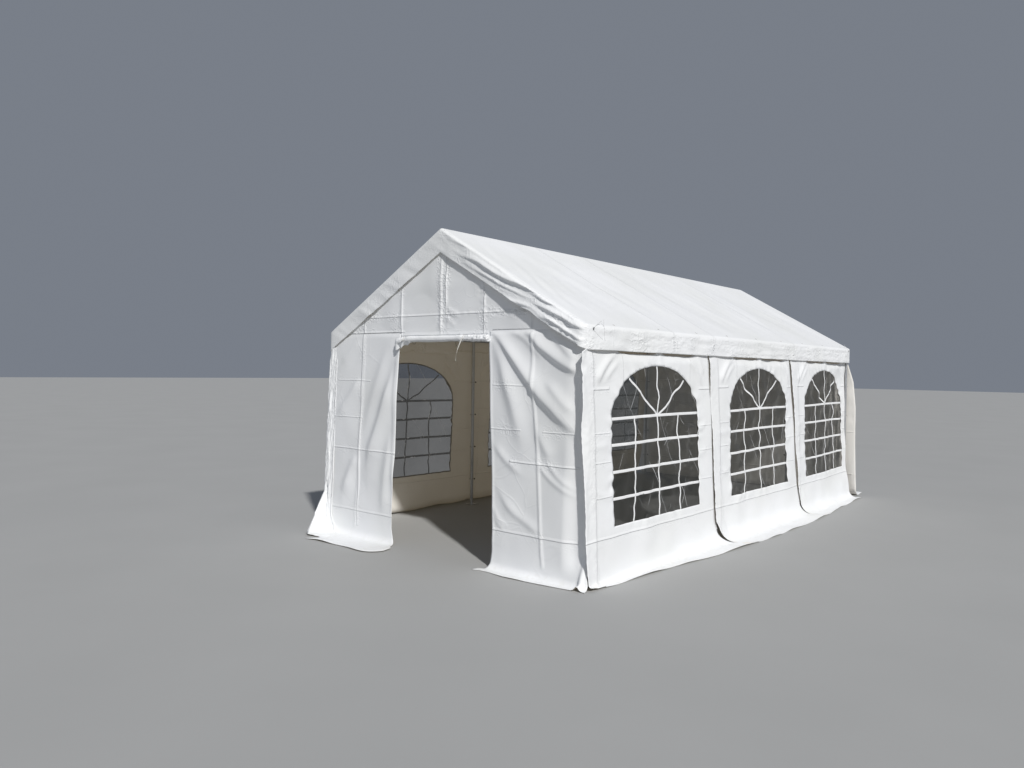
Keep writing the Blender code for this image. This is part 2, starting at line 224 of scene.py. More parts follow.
@dataclass(frozen=True)
class Fold:
    """A ridge in cloth along a line, with its own width on each side.

    Left and right are as seen by someone who walks along the line with u to the right and
    v ahead. Widths go from the line's start to its end. Ends are the shares of the height
    left at the start and at the end, reached over the given stretches of the line.
    """

    line: tuple[Point2, ...]
    height: float
    left: Point2
    right: Point2
    ends: Point2 = (0.0, 0.0)
    reach: Point2 = (0.3, 0.7)
    power: float = 1.8

    def at(self, u: Array, v: Array) -> Array:
        """Gives the fold's height at flat coordinates.

        Formula: height times the bell of the distance to the line over the width of that
        side, times shares that grow in at the start and fade out at the end.

        Args:
            u: First flat coordinate.
            v: Second flat coordinate.

        Returns:
            Heights in metres.
        """
        samples = curve_through(self.line, 5 * len(self.line))
        u, v = np.broadcast_arrays(u, v)
        nearest, side, along = np.full(u.shape, np.inf), np.zeros(u.shape), np.zeros(u.shape)
        last = len(samples) - 1
        for i in range(last):
            (a, b), (c, d) = samples[i], samples[i + 1]
            du, dv = c - a, d - b
            t = clip(((u - a) * du + (v - b) * dv) / (du * du + dv * dv), 0, 1)
            off_u, off_v = u - a - t * du, v - b - t * dv
            distance = np.hypot(off_u, off_v)
            closer = distance < nearest
            nearest = np.where(closer, distance, nearest)
            side = np.where(closer, du * off_v - dv * off_u, side)
            along = np.where(closer, (i + t) / last, along)
        width = np.where(side > 0, blend(*self.left, along), blend(*self.right, along))
        grow = blend(self.ends[0], 1.0, smooth(0, self.reach[0], along))
        fade = blend(1.0, self.ends[1], smooth(self.reach[1], 1, along))
        return self.height * grow * fade * np.exp(-((nearest / width) ** self.power))


Layers = Sequence[Ripples | Crumple | Facets | Fold]


def relief(layers: Layers, u: Array, v: Array) -> Array:
    """Adds up the heights of several layers of folds and waves."""
    return sum((layer.at(u, v) for layer in layers), np.zeros(np.broadcast(u, v).shape))


def grid_faces(index: Array, keep: Array | None = None) -> Array:
    """Lists the four-sided faces of a grid.

    Args:
        index: Vertex numbers as rows and columns.
        keep: Which cells to keep, or None for all.

    Returns:
        An array of faces with four vertex numbers each.
    """
    cells = np.stack([index[:-1, :-1], index[:-1, 1:], index[1:, 1:], index[1:, :-1]], axis=-1)
    return cells.reshape(-1, 4) if keep is None else cells[keep]


def face_out(points: Array, faces: Array, way: Sequence[float] | Array) -> Array:
    """Turns faces round where together they look against a way.

    Args:
        points: Vertex positions.
        faces: Faces of three or four vertex numbers.
        way: The way that the faces should look, for all or for each face.

    Returns:
        The faces, all reversed or all as they were.
    """
    a, b, c = (points[faces[:, i]] for i in range(3))
    return faces[:, ::-1] if (np.cross(b - a, c - a) * np.asarray(way, float)).sum() < 0 else faces


class MeshParts:
    """Collects points and faces of several shapes, to make one mesh object of them."""

    def __init__(self) -> None:
        """Starts with no points and no faces."""
        self.points: list[Array] = []
        self.flat: list[Array] = []
        self.faces: list[list[int]] = []
        self.count = 0

    def add(self, points: Array, faces: Sequence[Array], flat: Array | None = None) -> None:
        """Adds a shape.

        Args:
            points: Its vertex positions, as rows of three numbers.
            faces: Arrays of faces, each with its own number of corners.
            flat: Flat cloth coordinates of each vertex, or None.
        """
        points = points.reshape(-1, 3)
        self.points.append(points)
        self.flat.append(np.zeros((len(points), 2)) if flat is None else flat.reshape(-1, 2))
        for group in faces:
            self.faces.extend((np.asarray(group) + self.count).tolist())
        self.count += len(points)

    def add_tube(self, rings: Array, flat: Array | None = None, looped: bool = False) -> None:
        """Adds a shape from rings of points, with flat caps or with its last ring joined to the first.

        Args:
            rings: Points as rings by points by three.
            flat: Flat coordinates as rings by points by two, or None.
            looped: True where the ends join.
        """
        number, around = rings.shape[:2]
        index = np.arange(number * around).reshape(number, around)
        wrapped = concatenate([index, index[:, :1]], axis=1)
        faces = grid_faces(concatenate([wrapped, wrapped[:1]]) if looped else wrapped)
        middle = np.repeat(rings.mean(axis=1), around, axis=0)[: len(faces)]
        points = rings.reshape(-1, 3)
        groups = [faces] if looped else [faces, index[:1, ::-1], index[-1:]]
        if face_out(points, faces, points[faces[:, 0]] - middle) is not faces:
            groups = [group[:, ::-1] for group in groups]
        self.add(points, groups, flat)

    def build(self, name: str) -> bpy.types.Object:
        """Makes the mesh object, with its flat coordinates as a UV map.

        Args:
            name: Name of the object.

        Returns:
            The new object, at the origin and shaded smooth.
        """
        points, flat = concatenate(self.points), concatenate(self.flat)
        used, renamed = np.unique(concatenate([np.asarray(face) for face in self.faces]), return_inverse=True)
        splits = np.cumsum([len(face) for face in self.faces])[:-1]
        mesh = bpy.data.meshes.new(name)
        mesh.from_pydata(points[used].tolist(), [], [part.tolist() for part in np.split(renamed, splits)])
        layer = mesh.uv_layers.new(name="flat_cloth")
        layer.data.foreach_set("uv", flat[used][renamed].astype(np.float32).ravel())
        mesh.shade_smooth()
        obj = bpy.data.objects.new(name, mesh)
        bpy.context.scene.collection.objects.link(obj)
        return obj


def round_section(radius: float, sides: int) -> Array:
    """Returns a circle of points in two coordinates: radius times cosine and sine."""
    angle = np.arange(sides) * 2 * pi / sides
    return radius * xyz(cos(angle), sin(angle))


def flat_section(width: float, thickness: float) -> Array:
    """Returns the outline of a flat strip with chamfered edges, across and out."""
    w, t, c = width / 2, thickness / 2, min(thickness, width / 6)
    return np.array([(-w, -t / 3), (c - w, -t), (w - c, -t), (w, -t / 3),
                     (w, t / 3), (w - c, t), (c - w, t), (-w, t / 3)])


def carried(path: Array, across: Array, out: Array, section: Array) -> Array:
    """Returns a ring for each path point, with the section laid along two ways."""
    return path[:, None] + across[..., None, :] * section[:, :1] + out[..., None, :] * section[:, 1:]


def sweep(path: Array, out: Array, section: Array) -> Array:
    """Carries a section along a path.

    Formula: each ring is its path point plus the section's first coordinate times the way
    across plus its second times the way out; across is tangent cross out.

    Args:
        path: Points along the path.
        out: The way out of the surface at each point, or one for all.
        section: Points across and out.

    Returns:
        Rings of points, one for each path point.
    """
    tangent = unit(np.gradient(path, axis=0))
    across = unit(np.cross(tangent, np.broadcast_to(np.asarray(out, float), path.shape)))
    return carried(path, across, np.cross(across, tangent), section)


def arithmetic(operation: str, turned: bool = False) -> Callable[["Socket", "Socket | float"], "Socket"]:
    """Makes an operator of the socket class.

    Args:
        operation: The Math node's operation.
        turned: True where the socket is the second of the two values.

    Returns:
        The operator's method.
    """
    def operator(first: "Socket", second: "Socket | float") -> "Socket":
        """Works out the operation on two values."""
        return first.graph.maths(operation, *((second, first) if turned else (first, second)))
    return operator


class Socket:
    """A value in a material's node graph that Python arithmetic can work with."""

    __add__, __radd__ = arithmetic("ADD"), arithmetic("ADD", True)
    __sub__, __rsub__ = arithmetic("SUBTRACT"), arithmetic("SUBTRACT", True)
    __mul__, __rmul__ = arithmetic("MULTIPLY"), arithmetic("MULTIPLY", True)
    __truediv__, __rtruediv__ = arithmetic("DIVIDE"), arithmetic("DIVIDE", True)

    def __init__(self, graph: "Graph", socket: bpy.types.NodeSocket) -> None:
        """Wraps a node's output socket."""
        self.graph, self.socket = graph, socket

    def __abs__(self) -> "Socket":
        """Takes the absolute value."""
        return self.graph.maths("ABSOLUTE", self)

    def smooth(self, low: float, high: float) -> "Socket":
        """Rises smoothly from 0 at low to 1 at high."""
        values = {"Value": self, "From Min": low, "From Max": high}
        return self.graph.node("MapRange", "Result", values, interpolation_type="SMOOTHSTEP")


class Graph:
    """Builds one node-based material."""

    def __init__(self, name: str) -> None:
        """Makes an empty material with its output node, and the coordinates of its points."""
        self.material = bpy.data.materials.new(name)
        self.material.use_nodes = True
        self.tree = self.material.node_tree
        self.tree.nodes.clear()
        self.output = self.tree.nodes.new("ShaderNodeOutputMaterial")
        self.place = self.node("TexCoord", "Object")
        self.u, self.v = self.axis(self.node("TexCoord", "UV"), "X"), self.axis(self.node("TexCoord", "UV"), "Y")

    def node(self, kind: str, output: str | int, values: dict[object, object] | None = None,
             **settings: object) -> Socket:
        """Adds a node.

        Args:
            kind: The node's type, after ShaderNode.
            output: Name or number of the output to return.
            values: Values or links of its input sockets, by name or number.
            settings: Its properties, set before its sockets.

        Returns:
            The node's output.
        """
        node = self.tree.nodes.new("ShaderNode" + kind)
        for key, setting in settings.items():
            setattr(node, key, setting)
        for key, value in (values or {}).items():
            if isinstance(value, Socket):
                self.tree.links.new(value.socket, node.inputs[key])
            else:
                node.inputs[key].default_value = value
        return Socket(self, node.outputs[output])

    def maths(self, operation: str, *values: "Socket | float") -> Socket:
        """Adds a Math node on values and links."""
        return self.node("Math", 0, dict(enumerate(values)), operation=operation)

    def mix(self, share: "Socket | float", first: object, second: object) -> Socket:
        """Mixes two colours: first where share is 0, second where it is 1."""
        return self.node("Mix", 2, {"Factor": share, 6: first, 7: second}, data_type="RGBA")

    def axis(self, place: Socket, name: str) -> Socket:
        """Returns one coordinate of a place."""
        return self.node("SeparateXYZ", name, {"Vector": place})

    def stretched(self, scale: Point3) -> Socket:
        """Stretches the Object coordinates with a Mapping node."""
        return self.node("Mapping", 0, {"Vector": self.place, "Scale": scale})

    def bent(self, place: Socket, scale: float, amount: float) -> Socket:
        """Moves coordinates a little by noise, so that lines laid on them wander."""
        noise = self.node("TexNoise", "Color", {"Vector": place, "Scale": scale, "Detail": 1.0})
        centred = self.node("VectorMath", 0, {0: noise, 1: (0.5, 0.5, 0.5)}, operation="SUBTRACT")
        return self.node("VectorMath", 0, {0: centred, 1: (amount,) * 3, 2: place}, operation="MULTIPLY_ADD")

    def noise(self, scale: float, detail: float = 3.0, distortion: float = 0.0, place: Socket | None = None) -> Socket:
        """Returns fractal noise from 0 to 1."""
        values = {"Vector": place or self.place, "Scale": scale, "Detail": detail, "Distortion": distortion}
        return self.node("TexNoise", "Fac", values)

    def cell_edges(self, place: Socket, scale: float) -> Socket:
        """Returns the distance to the edges of random cells."""
        return self.node("TexVoronoi", "Distance", {"Vector": place, "Scale": scale}, feature="DISTANCE_TO_EDGE")

    def bump(self, height: Socket) -> Socket:
        """Turns a height in metres into a normal."""
        return self.node("Bump", "Normal", {"Height": height, "Strength": 1.0, "Distance": 1.0})

    def surface(self, values: dict[str, object]) -> bpy.types.Material:
        """Adds the Principled shader with its values and links it to the output."""
        self.tree.links.new(self.node("BsdfPrincipled", 0, values).socket, self.output.inputs["Surface"])
        return self.material


class MarkKind(Enum):
    """What a straight mark in cloth is."""

    WELD = "two sheets welded over each other in a band"
    CREASE = "a line that folding for storage left"


class MarkWay(Enum):
    """How a straight mark in cloth runs."""

    LEVEL = "across, at one height"
    UPRIGHT = "up and down"


LEVEL, UPRIGHT = MarkWay.LEVEL, MarkWay.UPRIGHT


@dataclass(frozen=True)
class Mark:
    """A straight weld or crease on the flat cloth, from start to end along its way."""

    kind: MarkKind
    way: MarkWay
    at: float
    start: float
    end: float
    width: float = 0.026

    def shape(self, graph: Graph, wander: Socket) -> tuple[Socket, Socket, Socket]:
        """Draws the mark.

        Args:
            graph: The material's graph.
            wander: Small offset that keeps the line from being ruled.

        Returns:
            Its height in metres, its painted shade in the groove beside it from 0 to 1, and 1 where it is near.
        """
        across, along = (graph.v, graph.u) if self.way is LEVEL else (graph.u, graph.v)
        offset = across - self.at + wander
        within = (along - self.start).smooth(0, 0.01) * (self.end - along).smooth(0, 0.01)
        slope = 1 - offset.smooth(0.0, self.width)
        step = offset.smooth(-0.006, 0.0)
        # The groove beside the mark takes painted shade, as if the raised band shadowed it.
        groove = 1 - abs(offset + 0.004).smooth(0.0, 0.006)
        # Strength of the painted shade in the groove: stronger beside welds than beside creases.
        tall, painted_shade = (0.0042, 0.34) if self.kind is MarkKind.WELD else (0.0026, 0.18)
        near = (1 - abs(offset).smooth(0.012, 0.080)) * within
        return slope * step * within * tall, groove * within * painted_shade, near


def weld(way: MarkWay, at: float, start: float, end: float, width: float = 0.026) -> Mark:
    """Returns a weld band."""
    return Mark(MarkKind.WELD, way, at, start, end, width)


def crease(way: MarkWay, at: float, start: float, end: float) -> Mark:
    """Returns a storage crease."""
    return Mark(MarkKind.CREASE, way, at, start, end, 0.012)


@dataclass(frozen=True)
class ClothFinish:
    """White coated cloth: satin, with welds, creases, fine crinkles, a trace of soil and painted shade along creases
    and weld grooves; its inner side is a darker warm copy with a painted glow.
    """

    name: str
    marks: tuple[Mark, ...] = ()
    colour: Colour = (0.86, 0.875, 0.895)
    tint: Colour = (0.83, 0.845, 0.85)
    # inside is a darker, warmer copy of the cloth colour for the inner side: painted shade and painted warm bounce
    # light.
    inside: Colour = (0.80, 0.785, 0.75)
    # The glow colour and strength below give emission on the inner side, a painted glow for light coming through the
    # cloth, not a lamp.
    painted_glow: Colour = (1.0, 0.80, 0.50)
    painted_glow_strength: float = 0.045
    soil: Colour = (0.47, 0.45, 0.33)
    crinkle: float = 0.0005
    creased: float = 0.0009
    puckered: float = 0.0016
    pressed: float = 0.0
    crumpled_from: float = 0.0
    soil_height: float = 0.07
    roughness: float = 0.42

    def pressed_lines(self, graph: Graph, wander: Socket) -> Socket:
        """Returns the height of the straight lines that folding pressed into the cloth."""
        down = graph.maths("PINGPONG", graph.u + graph.v * 0.19 + (wander + 0.005) * 3.0, 0.23).smooth(0.0, 0.012)
        slant = graph.maths("PINGPONG", graph.u * 0.80 - graph.v * 0.62 + 7.0, 0.41).smooth(0.0, 0.010)
        patches = graph.noise(1.6, 2.0).smooth(0.42, 0.62)
        return ((1 - down) * patches + (1 - slant) * (1 - patches) * 0.7) * self.pressed

    def crumples(self, graph: Graph, sharp: Socket, finer: Socket, patchy: Socket) -> Socket:
        """Returns the height of the crumples on the valances, fewer on the tidy ones.

        Args:
            graph: The material's graph.
            sharp: 1 on the larger creases.
            finer: 1 on the smaller creases.
            patchy: Where the cloth is much crumpled.

        Returns:
            The height in metres.
        """
        zone = abs(graph.v).smooth(self.crumpled_from, self.crumpled_from + 0.03)
        rake = abs(graph.v).smooth(8.0, 9.0)
        tidy = rake * (0.72 - graph.axis(graph.place, "X").smooth(-0.05, 0.35) * 0.55)
        return (sharp * 0.0024 + finer * 0.0011) * (0.25 + patchy * 0.75) * (1 - tidy) * zone

    def build(self, outer: bool = True) -> bpy.types.Material:
        """Makes the material of one side of the cloth.

        Args:
            outer: True for the outer side.

        Returns:
            The material.
        """
        graph = Graph(f"{self.name}_{'outer' if outer else 'inner'}")
        place = graph.place
        wander = (graph.noise(4.0, 1.0) - 0.5) * 0.010
        height = (graph.noise(8.0, 2.0, 0.4) - 0.5) * self.crinkle
        warped = graph.bent(place, 2.6, 0.20)
        broad = 1 - graph.cell_edges(warped, 3.3).smooth(0.0, 0.034)
        small = 1 - graph.cell_edges(warped, 10.5).smooth(0.0, 0.085)
        where = graph.noise(1.9, 2.0).smooth(0.46, 0.68)
        where_small = graph.noise(2.9, 1.0, place=graph.stretched((1.0, 1.0, 1.3))).smooth(0.54, 0.74)
        creases = broad * where * 0.8 + small * where_small * 0.6
        height = height + creases * self.creased
        # Painted shade along the creases.
        painted_shade = creases * 0.05
        if self.pressed > 0:
            height = height + self.pressed_lines(graph, wander)
        nearest: Socket | float = 0.0
        for mark in self.marks:
            raised, shade, near = mark.shape(graph, wander)
            height = height + raised
            # Painted shade in the grooves beside welds and creases.
            painted_shade = painted_shade + shade * 0.45
            nearest = graph.maths("MAXIMUM", near, nearest)
        crushed = graph.bent(graph.stretched((1.0, 0.8, 1.2)), 9.0, 0.05)
        sharp = 1 - graph.cell_edges(crushed, 14.0).smooth(0.0, 0.17)
        finer = 1 - graph.cell_edges(crushed, 30.0).smooth(0.0, 0.22)
        patchy = graph.noise(5.5, 2.0).smooth(0.40, 0.66)
        height = height + finer * patchy * nearest * self.puckered
        if self.crumpled_from > 0:
            height = height + self.crumples(graph, sharp, finer, patchy)
        height = height + graph.maths("SINE", graph.u * 1600) * graph.maths("SINE", graph.v * 1600) * 0.00003
        # The inner side takes the darker, warmer inside colour: painted shade and warm bounce light.
        base, tint = (self.colour, self.tint) if outer else (self.inside, tuple(0.93 * c for c in self.inside))
        colour = graph.mix(graph.noise(1.3, 3.0).smooth(0.35, 0.7), (*base, 1), (*tint, 1))
        # Mixes the painted shade in as a blue-grey shade colour.
        colour = graph.mix(painted_shade, colour, (0.42, 0.44, 0.47, 1))
        splash = graph.noise(26.0, 4.0).smooth(0.42, 0.72)
        low = 1 - (graph.axis(place, "Z") + (graph.noise(7.0, 2.0) - 0.5) * 0.06).smooth(0.0, self.soil_height)
        colour = graph.mix(splash * low * 0.12, colour, (*self.soil, 1))
        rough = self.roughness + (graph.noise(17.0, 3.0) - 0.5) * 0.14 + low * 0.12
        values = {"Base Color": colour, "Roughness": rough, "Normal": graph.bump(height), "Specular IOR Level": 0.42}
        # The inner side glows: painted light coming through the cloth.
        if not outer:
            values |= {"Emission Color": (*self.painted_glow, 1), "Emission Strength": self.painted_glow_strength}
        return graph.surface(values)


@dataclass(frozen=True)
class FilmFinish:
    """Clear flexible window film, painted a near-black grey that stands in for the shaded view through it, with storage
    creases and scuffs whose paler colour is partly whitening of the film and partly painted highlight.
    """

    name: str = "window_film"
    # The near-black colour, at 61 per cent cover, is painted shade for the dark view through the window; the crease
    # colour below is partly whitening and partly painted highlight.
    colour: Colour = (0.024, 0.027, 0.026)
    whitening_and_highlight: Colour = (0.66, 0.68, 0.70)
    clear: float = 0.61
    creased: float = 0.72

    def build(self) -> bpy.types.Material:
        """Makes the film's material.

        Returns:
            The material.
        """
        graph = Graph(self.name)
        u, v = graph.u, graph.v
        bent = (graph.noise(2.4, 2.0) - 0.5) * 0.16
        lines = graph.maths("PINGPONG", u * 0.93 + v * 0.55 + bent, 0.17).smooth(0.0, 0.0055)
        lines_2 = graph.maths("PINGPONG", v * 0.42 - u + bent * 0.8 + 3.1, 0.29).smooth(0.0, 0.0048)
        patchy = graph.noise(2.7).smooth(0.47, 0.60)
        patchy_2 = graph.noise(3.3, 3.0, 0.3).smooth(0.49, 0.60)
        creases = (1 - lines) * patchy + (1 - lines_2) * patchy_2
        scuff = 1 - graph.cell_edges(graph.stretched((1.0, 1.0, 2.2)), 5.0).smooth(0.0, 0.015)
        creases = creases + scuff * graph.noise(4.0, 2.0).smooth(0.55, 0.70) * 0.55
        creases = graph.maths("MINIMUM", creases, 1.0)
        cloud = graph.noise(1.7, 4.0).smooth(0.4, 0.8) * 0.08
        return graph.surface({
            "Base Color": graph.mix(creases, (*self.colour, 1), (*self.whitening_and_highlight, 1)),
            "Alpha": self.clear + creases * (self.creased - self.clear) + cloud,
            "Roughness": 0.09 + creases * 0.25 + cloud,
            "Normal": graph.bump(creases * 0.0012 + (graph.noise(4.5) - 0.5) * 0.006),
            "IOR": 1.5,
        })


@dataclass(frozen=True)
class SteelFinish:
    """Galvanised steel with faint zinc spangle and streaks along the tube."""

    name: str = "galvanised_steel"
    colour: Colour = (0.56, 0.58, 0.60)
    bright: Colour = (0.70, 0.71, 0.72)

    def build(self) -> bpy.types.Material:
        """Makes the steel's material.

        Returns:
            The material.
        """
        graph = Graph(self.name)
        spangle = graph.axis(graph.node("TexVoronoi", "Color", {"Vector": graph.place, "Scale": 95.0}), "X")
        streak = graph.noise(1.0, 4.0, place=graph.stretched((60, 6, 6)))
        dull = graph.noise(3.0).smooth(0.5, 0.75)
        colour = graph.mix(spangle * 0.5 + streak * 0.4, (*self.colour, 1), (*self.bright, 1))
        return graph.surface({
            "Base Color": graph.mix(dull * 0.35, colour, (0.40, 0.41, 0.42, 1)),
            "Metallic": 0.92,
            "Roughness": 0.34 + spangle * 0.10 + dull * 0.16,
            "Normal": graph.bump(spangle * 0.00004 + streak * 0.00008),
        })


@dataclass(frozen=True)
class WebbingFinish:
    """Woven tape or elastic cord: ribs across it, in one colour with worn threads."""

    name: str
    colour: Colour
    ribs: float = 1100.0
    roughness: float = 0.62
    # A painted glow: emission in the tape's own colour that stands in for light coming through it.
    painted_glow_strength: float = 0.0

    def build(self) -> bpy.types.Material:
        """Makes the tape's material.

        Returns:
            The material.
        """
        graph = Graph(self.name)
        rib = graph.maths("SINE", graph.v * self.ribs) * 0.5 + 0.5
        fuzz = graph.noise(180.0)
        darker = tuple(0.72 * c for c in self.colour)
        return graph.surface({
            "Base Color": graph.mix(fuzz.smooth(0.35, 0.8) * 0.6 + rib * 0.2, (*self.colour, 1), (*darker, 1)),
            "Roughness": self.roughness + fuzz * 0.15,
            "Normal": graph.bump(rib * 0.00018 + fuzz * 0.0003),
            "Emission Color": (*self.colour, 1),
            "Emission Strength": self.painted_glow_strength,
        })


def dress(obj: bpy.types.Object, *materials: bpy.types.Material) -> None:
    """Gives a piece its materials."""
    obj.data.materials.clear()
    for material in materials:
        obj.data.materials.append(material)


def settle(obj: bpy.types.Object, slot: str, *replaced: str) -> None:
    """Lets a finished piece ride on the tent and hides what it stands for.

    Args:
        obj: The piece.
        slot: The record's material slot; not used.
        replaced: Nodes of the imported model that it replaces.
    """
    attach(obj, BODY)
    if replaced:
        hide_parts(*replaced)
    log.info("%s: %d faces", obj.name, len(obj.data.polygons))


def line_with_cloth(obj: bpy.types.Object, finish: ClothFinish) -> None:
    """Gives a sheet its thickness, inwards from its outer side, and the finish of both sides."""
    dress(obj, finish.build(), finish.build(False))
    modifier = obj.modifiers.new("cloth", "SOLIDIFY")
    modifier.thickness, modifier.offset = CLOTH, -1
    modifier.material_offset, modifier.material_offset_rim = 1, 0


def hang_sheet(name: str, points: Array, laid: Array, way: Sequence[float], finish: ClothFinish | FilmFinish, slot: str,
               replaced: Sequence[str] = (), keep: Array | None = None, **declared: object) -> None:
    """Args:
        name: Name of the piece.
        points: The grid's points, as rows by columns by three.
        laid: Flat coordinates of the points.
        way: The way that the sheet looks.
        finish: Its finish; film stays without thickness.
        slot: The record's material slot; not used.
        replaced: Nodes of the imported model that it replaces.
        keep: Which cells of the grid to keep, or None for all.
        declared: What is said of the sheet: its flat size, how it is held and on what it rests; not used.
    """
    index = np.arange(points[..., 0].size).reshape(points.shape[:2])
    parts = MeshParts()
    parts.add(points, [face_out(points.reshape(-1, 3), grid_faces(index, keep), way)], laid)
    obj = parts.build(name)
    if isinstance(finish, ClothFinish):
        line_with_cloth(obj, finish)
    else:
        dress(obj, finish.build())
    settle(obj, slot, *replaced)


@dataclass(frozen=True)
class TentSizes:
    """Main sizes of the tent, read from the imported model."""

    posts_x: float
    frames_y: Values
    eave_tube_z: float
    cover_x: float
    cover_y: float
    hem_z: float
    ridge_z: float
    seam_z: float
    valance_drop: float = 0.185
    apex_drop: float = 0.214
    tube_radius: float = 0.019

    @classmethod
    def read(cls) -> "TentSizes":
        """Reads the sizes from the mounts and the boxes of the nodes.

        Returns:
            The sizes.
        """
        feet = [mount["pos_m"] for mount in frame["record"]["mounts"]]
        low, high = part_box("roof_cover")
        return cls(max(foot[0] for foot in feet), tuple(sorted({foot[1] for foot in feet})),
                   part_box("wall_right_front")[1].z, high.x, high.y, low.z, high.z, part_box("front_wall_left")[1].z)

    @property
    def eave_z(self) -> float:
        """Height of the roof cloth's fold at the eave."""
        return self.hem_z + self.valance_drop

    @property
    def slope(self) -> float:
        """Fall of the roof for each metre across."""
        return (self.ridge_z - self.eave_z) / self.cover_x

    @property
    def gable_plane(self) -> float:
        """Distance of a gable wall's plane from the middle of the tent."""
        return self.frames_y[-1] + self.tube_radius + 0.0018

    def roof_z(self, x: Array) -> Array:
        """Height of the roof's outside at a distance across from the ridge."""
        return self.ridge_z - self.slope * np.abs(x)

    def valance_z(self, x: Array) -> Array:
        """Height of the gable valance's hem at a distance across from the ridge."""
        return self.roof_z(x) - blend(self.apex_drop, self.valance_drop, np.abs(x) / self.cover_x)


@dataclass(frozen=True)
class HemProfile:
    """The section of a wall that leans out, bends and lies on the ground.

    Places are given as outward distance and height, by the length s down the cloth.
    """

    top_out: float
    top_z: float
    lean: float
    bend_radius: float | Array
    ground: float = 0.0022

    @property
    def angle(self) -> float:
        """The wall's lean as an angle."""
        return atan(self.lean)

    @property
    def straight(self) -> float | Array:
        """Length of cloth from the top to the bend."""
        return (self.top_z - self.ground - self.bend_radius * (1 - sin(self.angle))) / cos(self.angle)

    @property
    def bend(self) -> float | Array:
        """Length of cloth round the bend."""
        return self.bend_radius * (pi / 2 - self.angle)

    def at(self, s: Array) -> tuple[Array, Array, Array, Array]:
        """Gives places and normals by the length down the cloth.

        Formula: a straight leaning line, then a circle of the bend radius until the cloth
        is level, then a straight line outwards on the ground.

        Args:
            s: Lengths from the top.

        Returns:
            Outward distance, height, and the two parts of the outward normal.
        """
        a, r = self.angle, self.bend_radius
        down = np.minimum(s, self.straight)
        theta = pi + a + clip((s - self.straight) / r, 0, pi / 2 - a)
        level = np.maximum(s - self.straight - self.bend, 0)
        centre_out = self.top_out + self.straight * sin(a) + r * cos(a)
        out = np.where(s < self.straight, self.top_out + down * sin(a), centre_out + r * cos(theta) + level)
        z = np.where(s < self.straight, self.top_z - down * cos(a), self.ground + r + r * sin(theta))
        return out, z, -cos(theta), -sin(theta)


def rows_to_ground(profile: HemProfile, starts: Sequence[float], step: float, skirt_rows: int) -> tuple[Array, Array]:
    """Spaces the rows of a wall sheet.

    Args:
        profile: The wall's section.
        starts: Lengths down the cloth that rows must meet, the first being the top.
        step: Spacing on the straight part.
        skirt_rows: Rows on the ground.

    Returns:
        Lengths down the cloth of the rows to the end of the bend, and the shares of the
        reach on the ground for the rest.
    """
    stops = [*starts, profile.straight]
    runs = [linspace(first, last, max(1, round((last - first) / step)), endpoint=False)
            for first, last in zip(stops, stops[1:])]
    bend = profile.straight + profile.bend * linspace(0, 1, 9)
    return concatenate([*runs, bend]), linspace(0, 1, skirt_rows + 1)[1:]


def swell(low: float, high: float, rows: int) -> Array:
    """Spaces values from low to high with finer steps near both ends."""
    fine = np.array([0.0, 0.011, 0.022, 0.034])
    middle = linspace(low + fine[-1], high - fine[-1], rows - 2 * (len(fine) - 1) + 1)
    return concatenate([low + fine[:-1], middle, (high - fine[:-1])[::-1]])



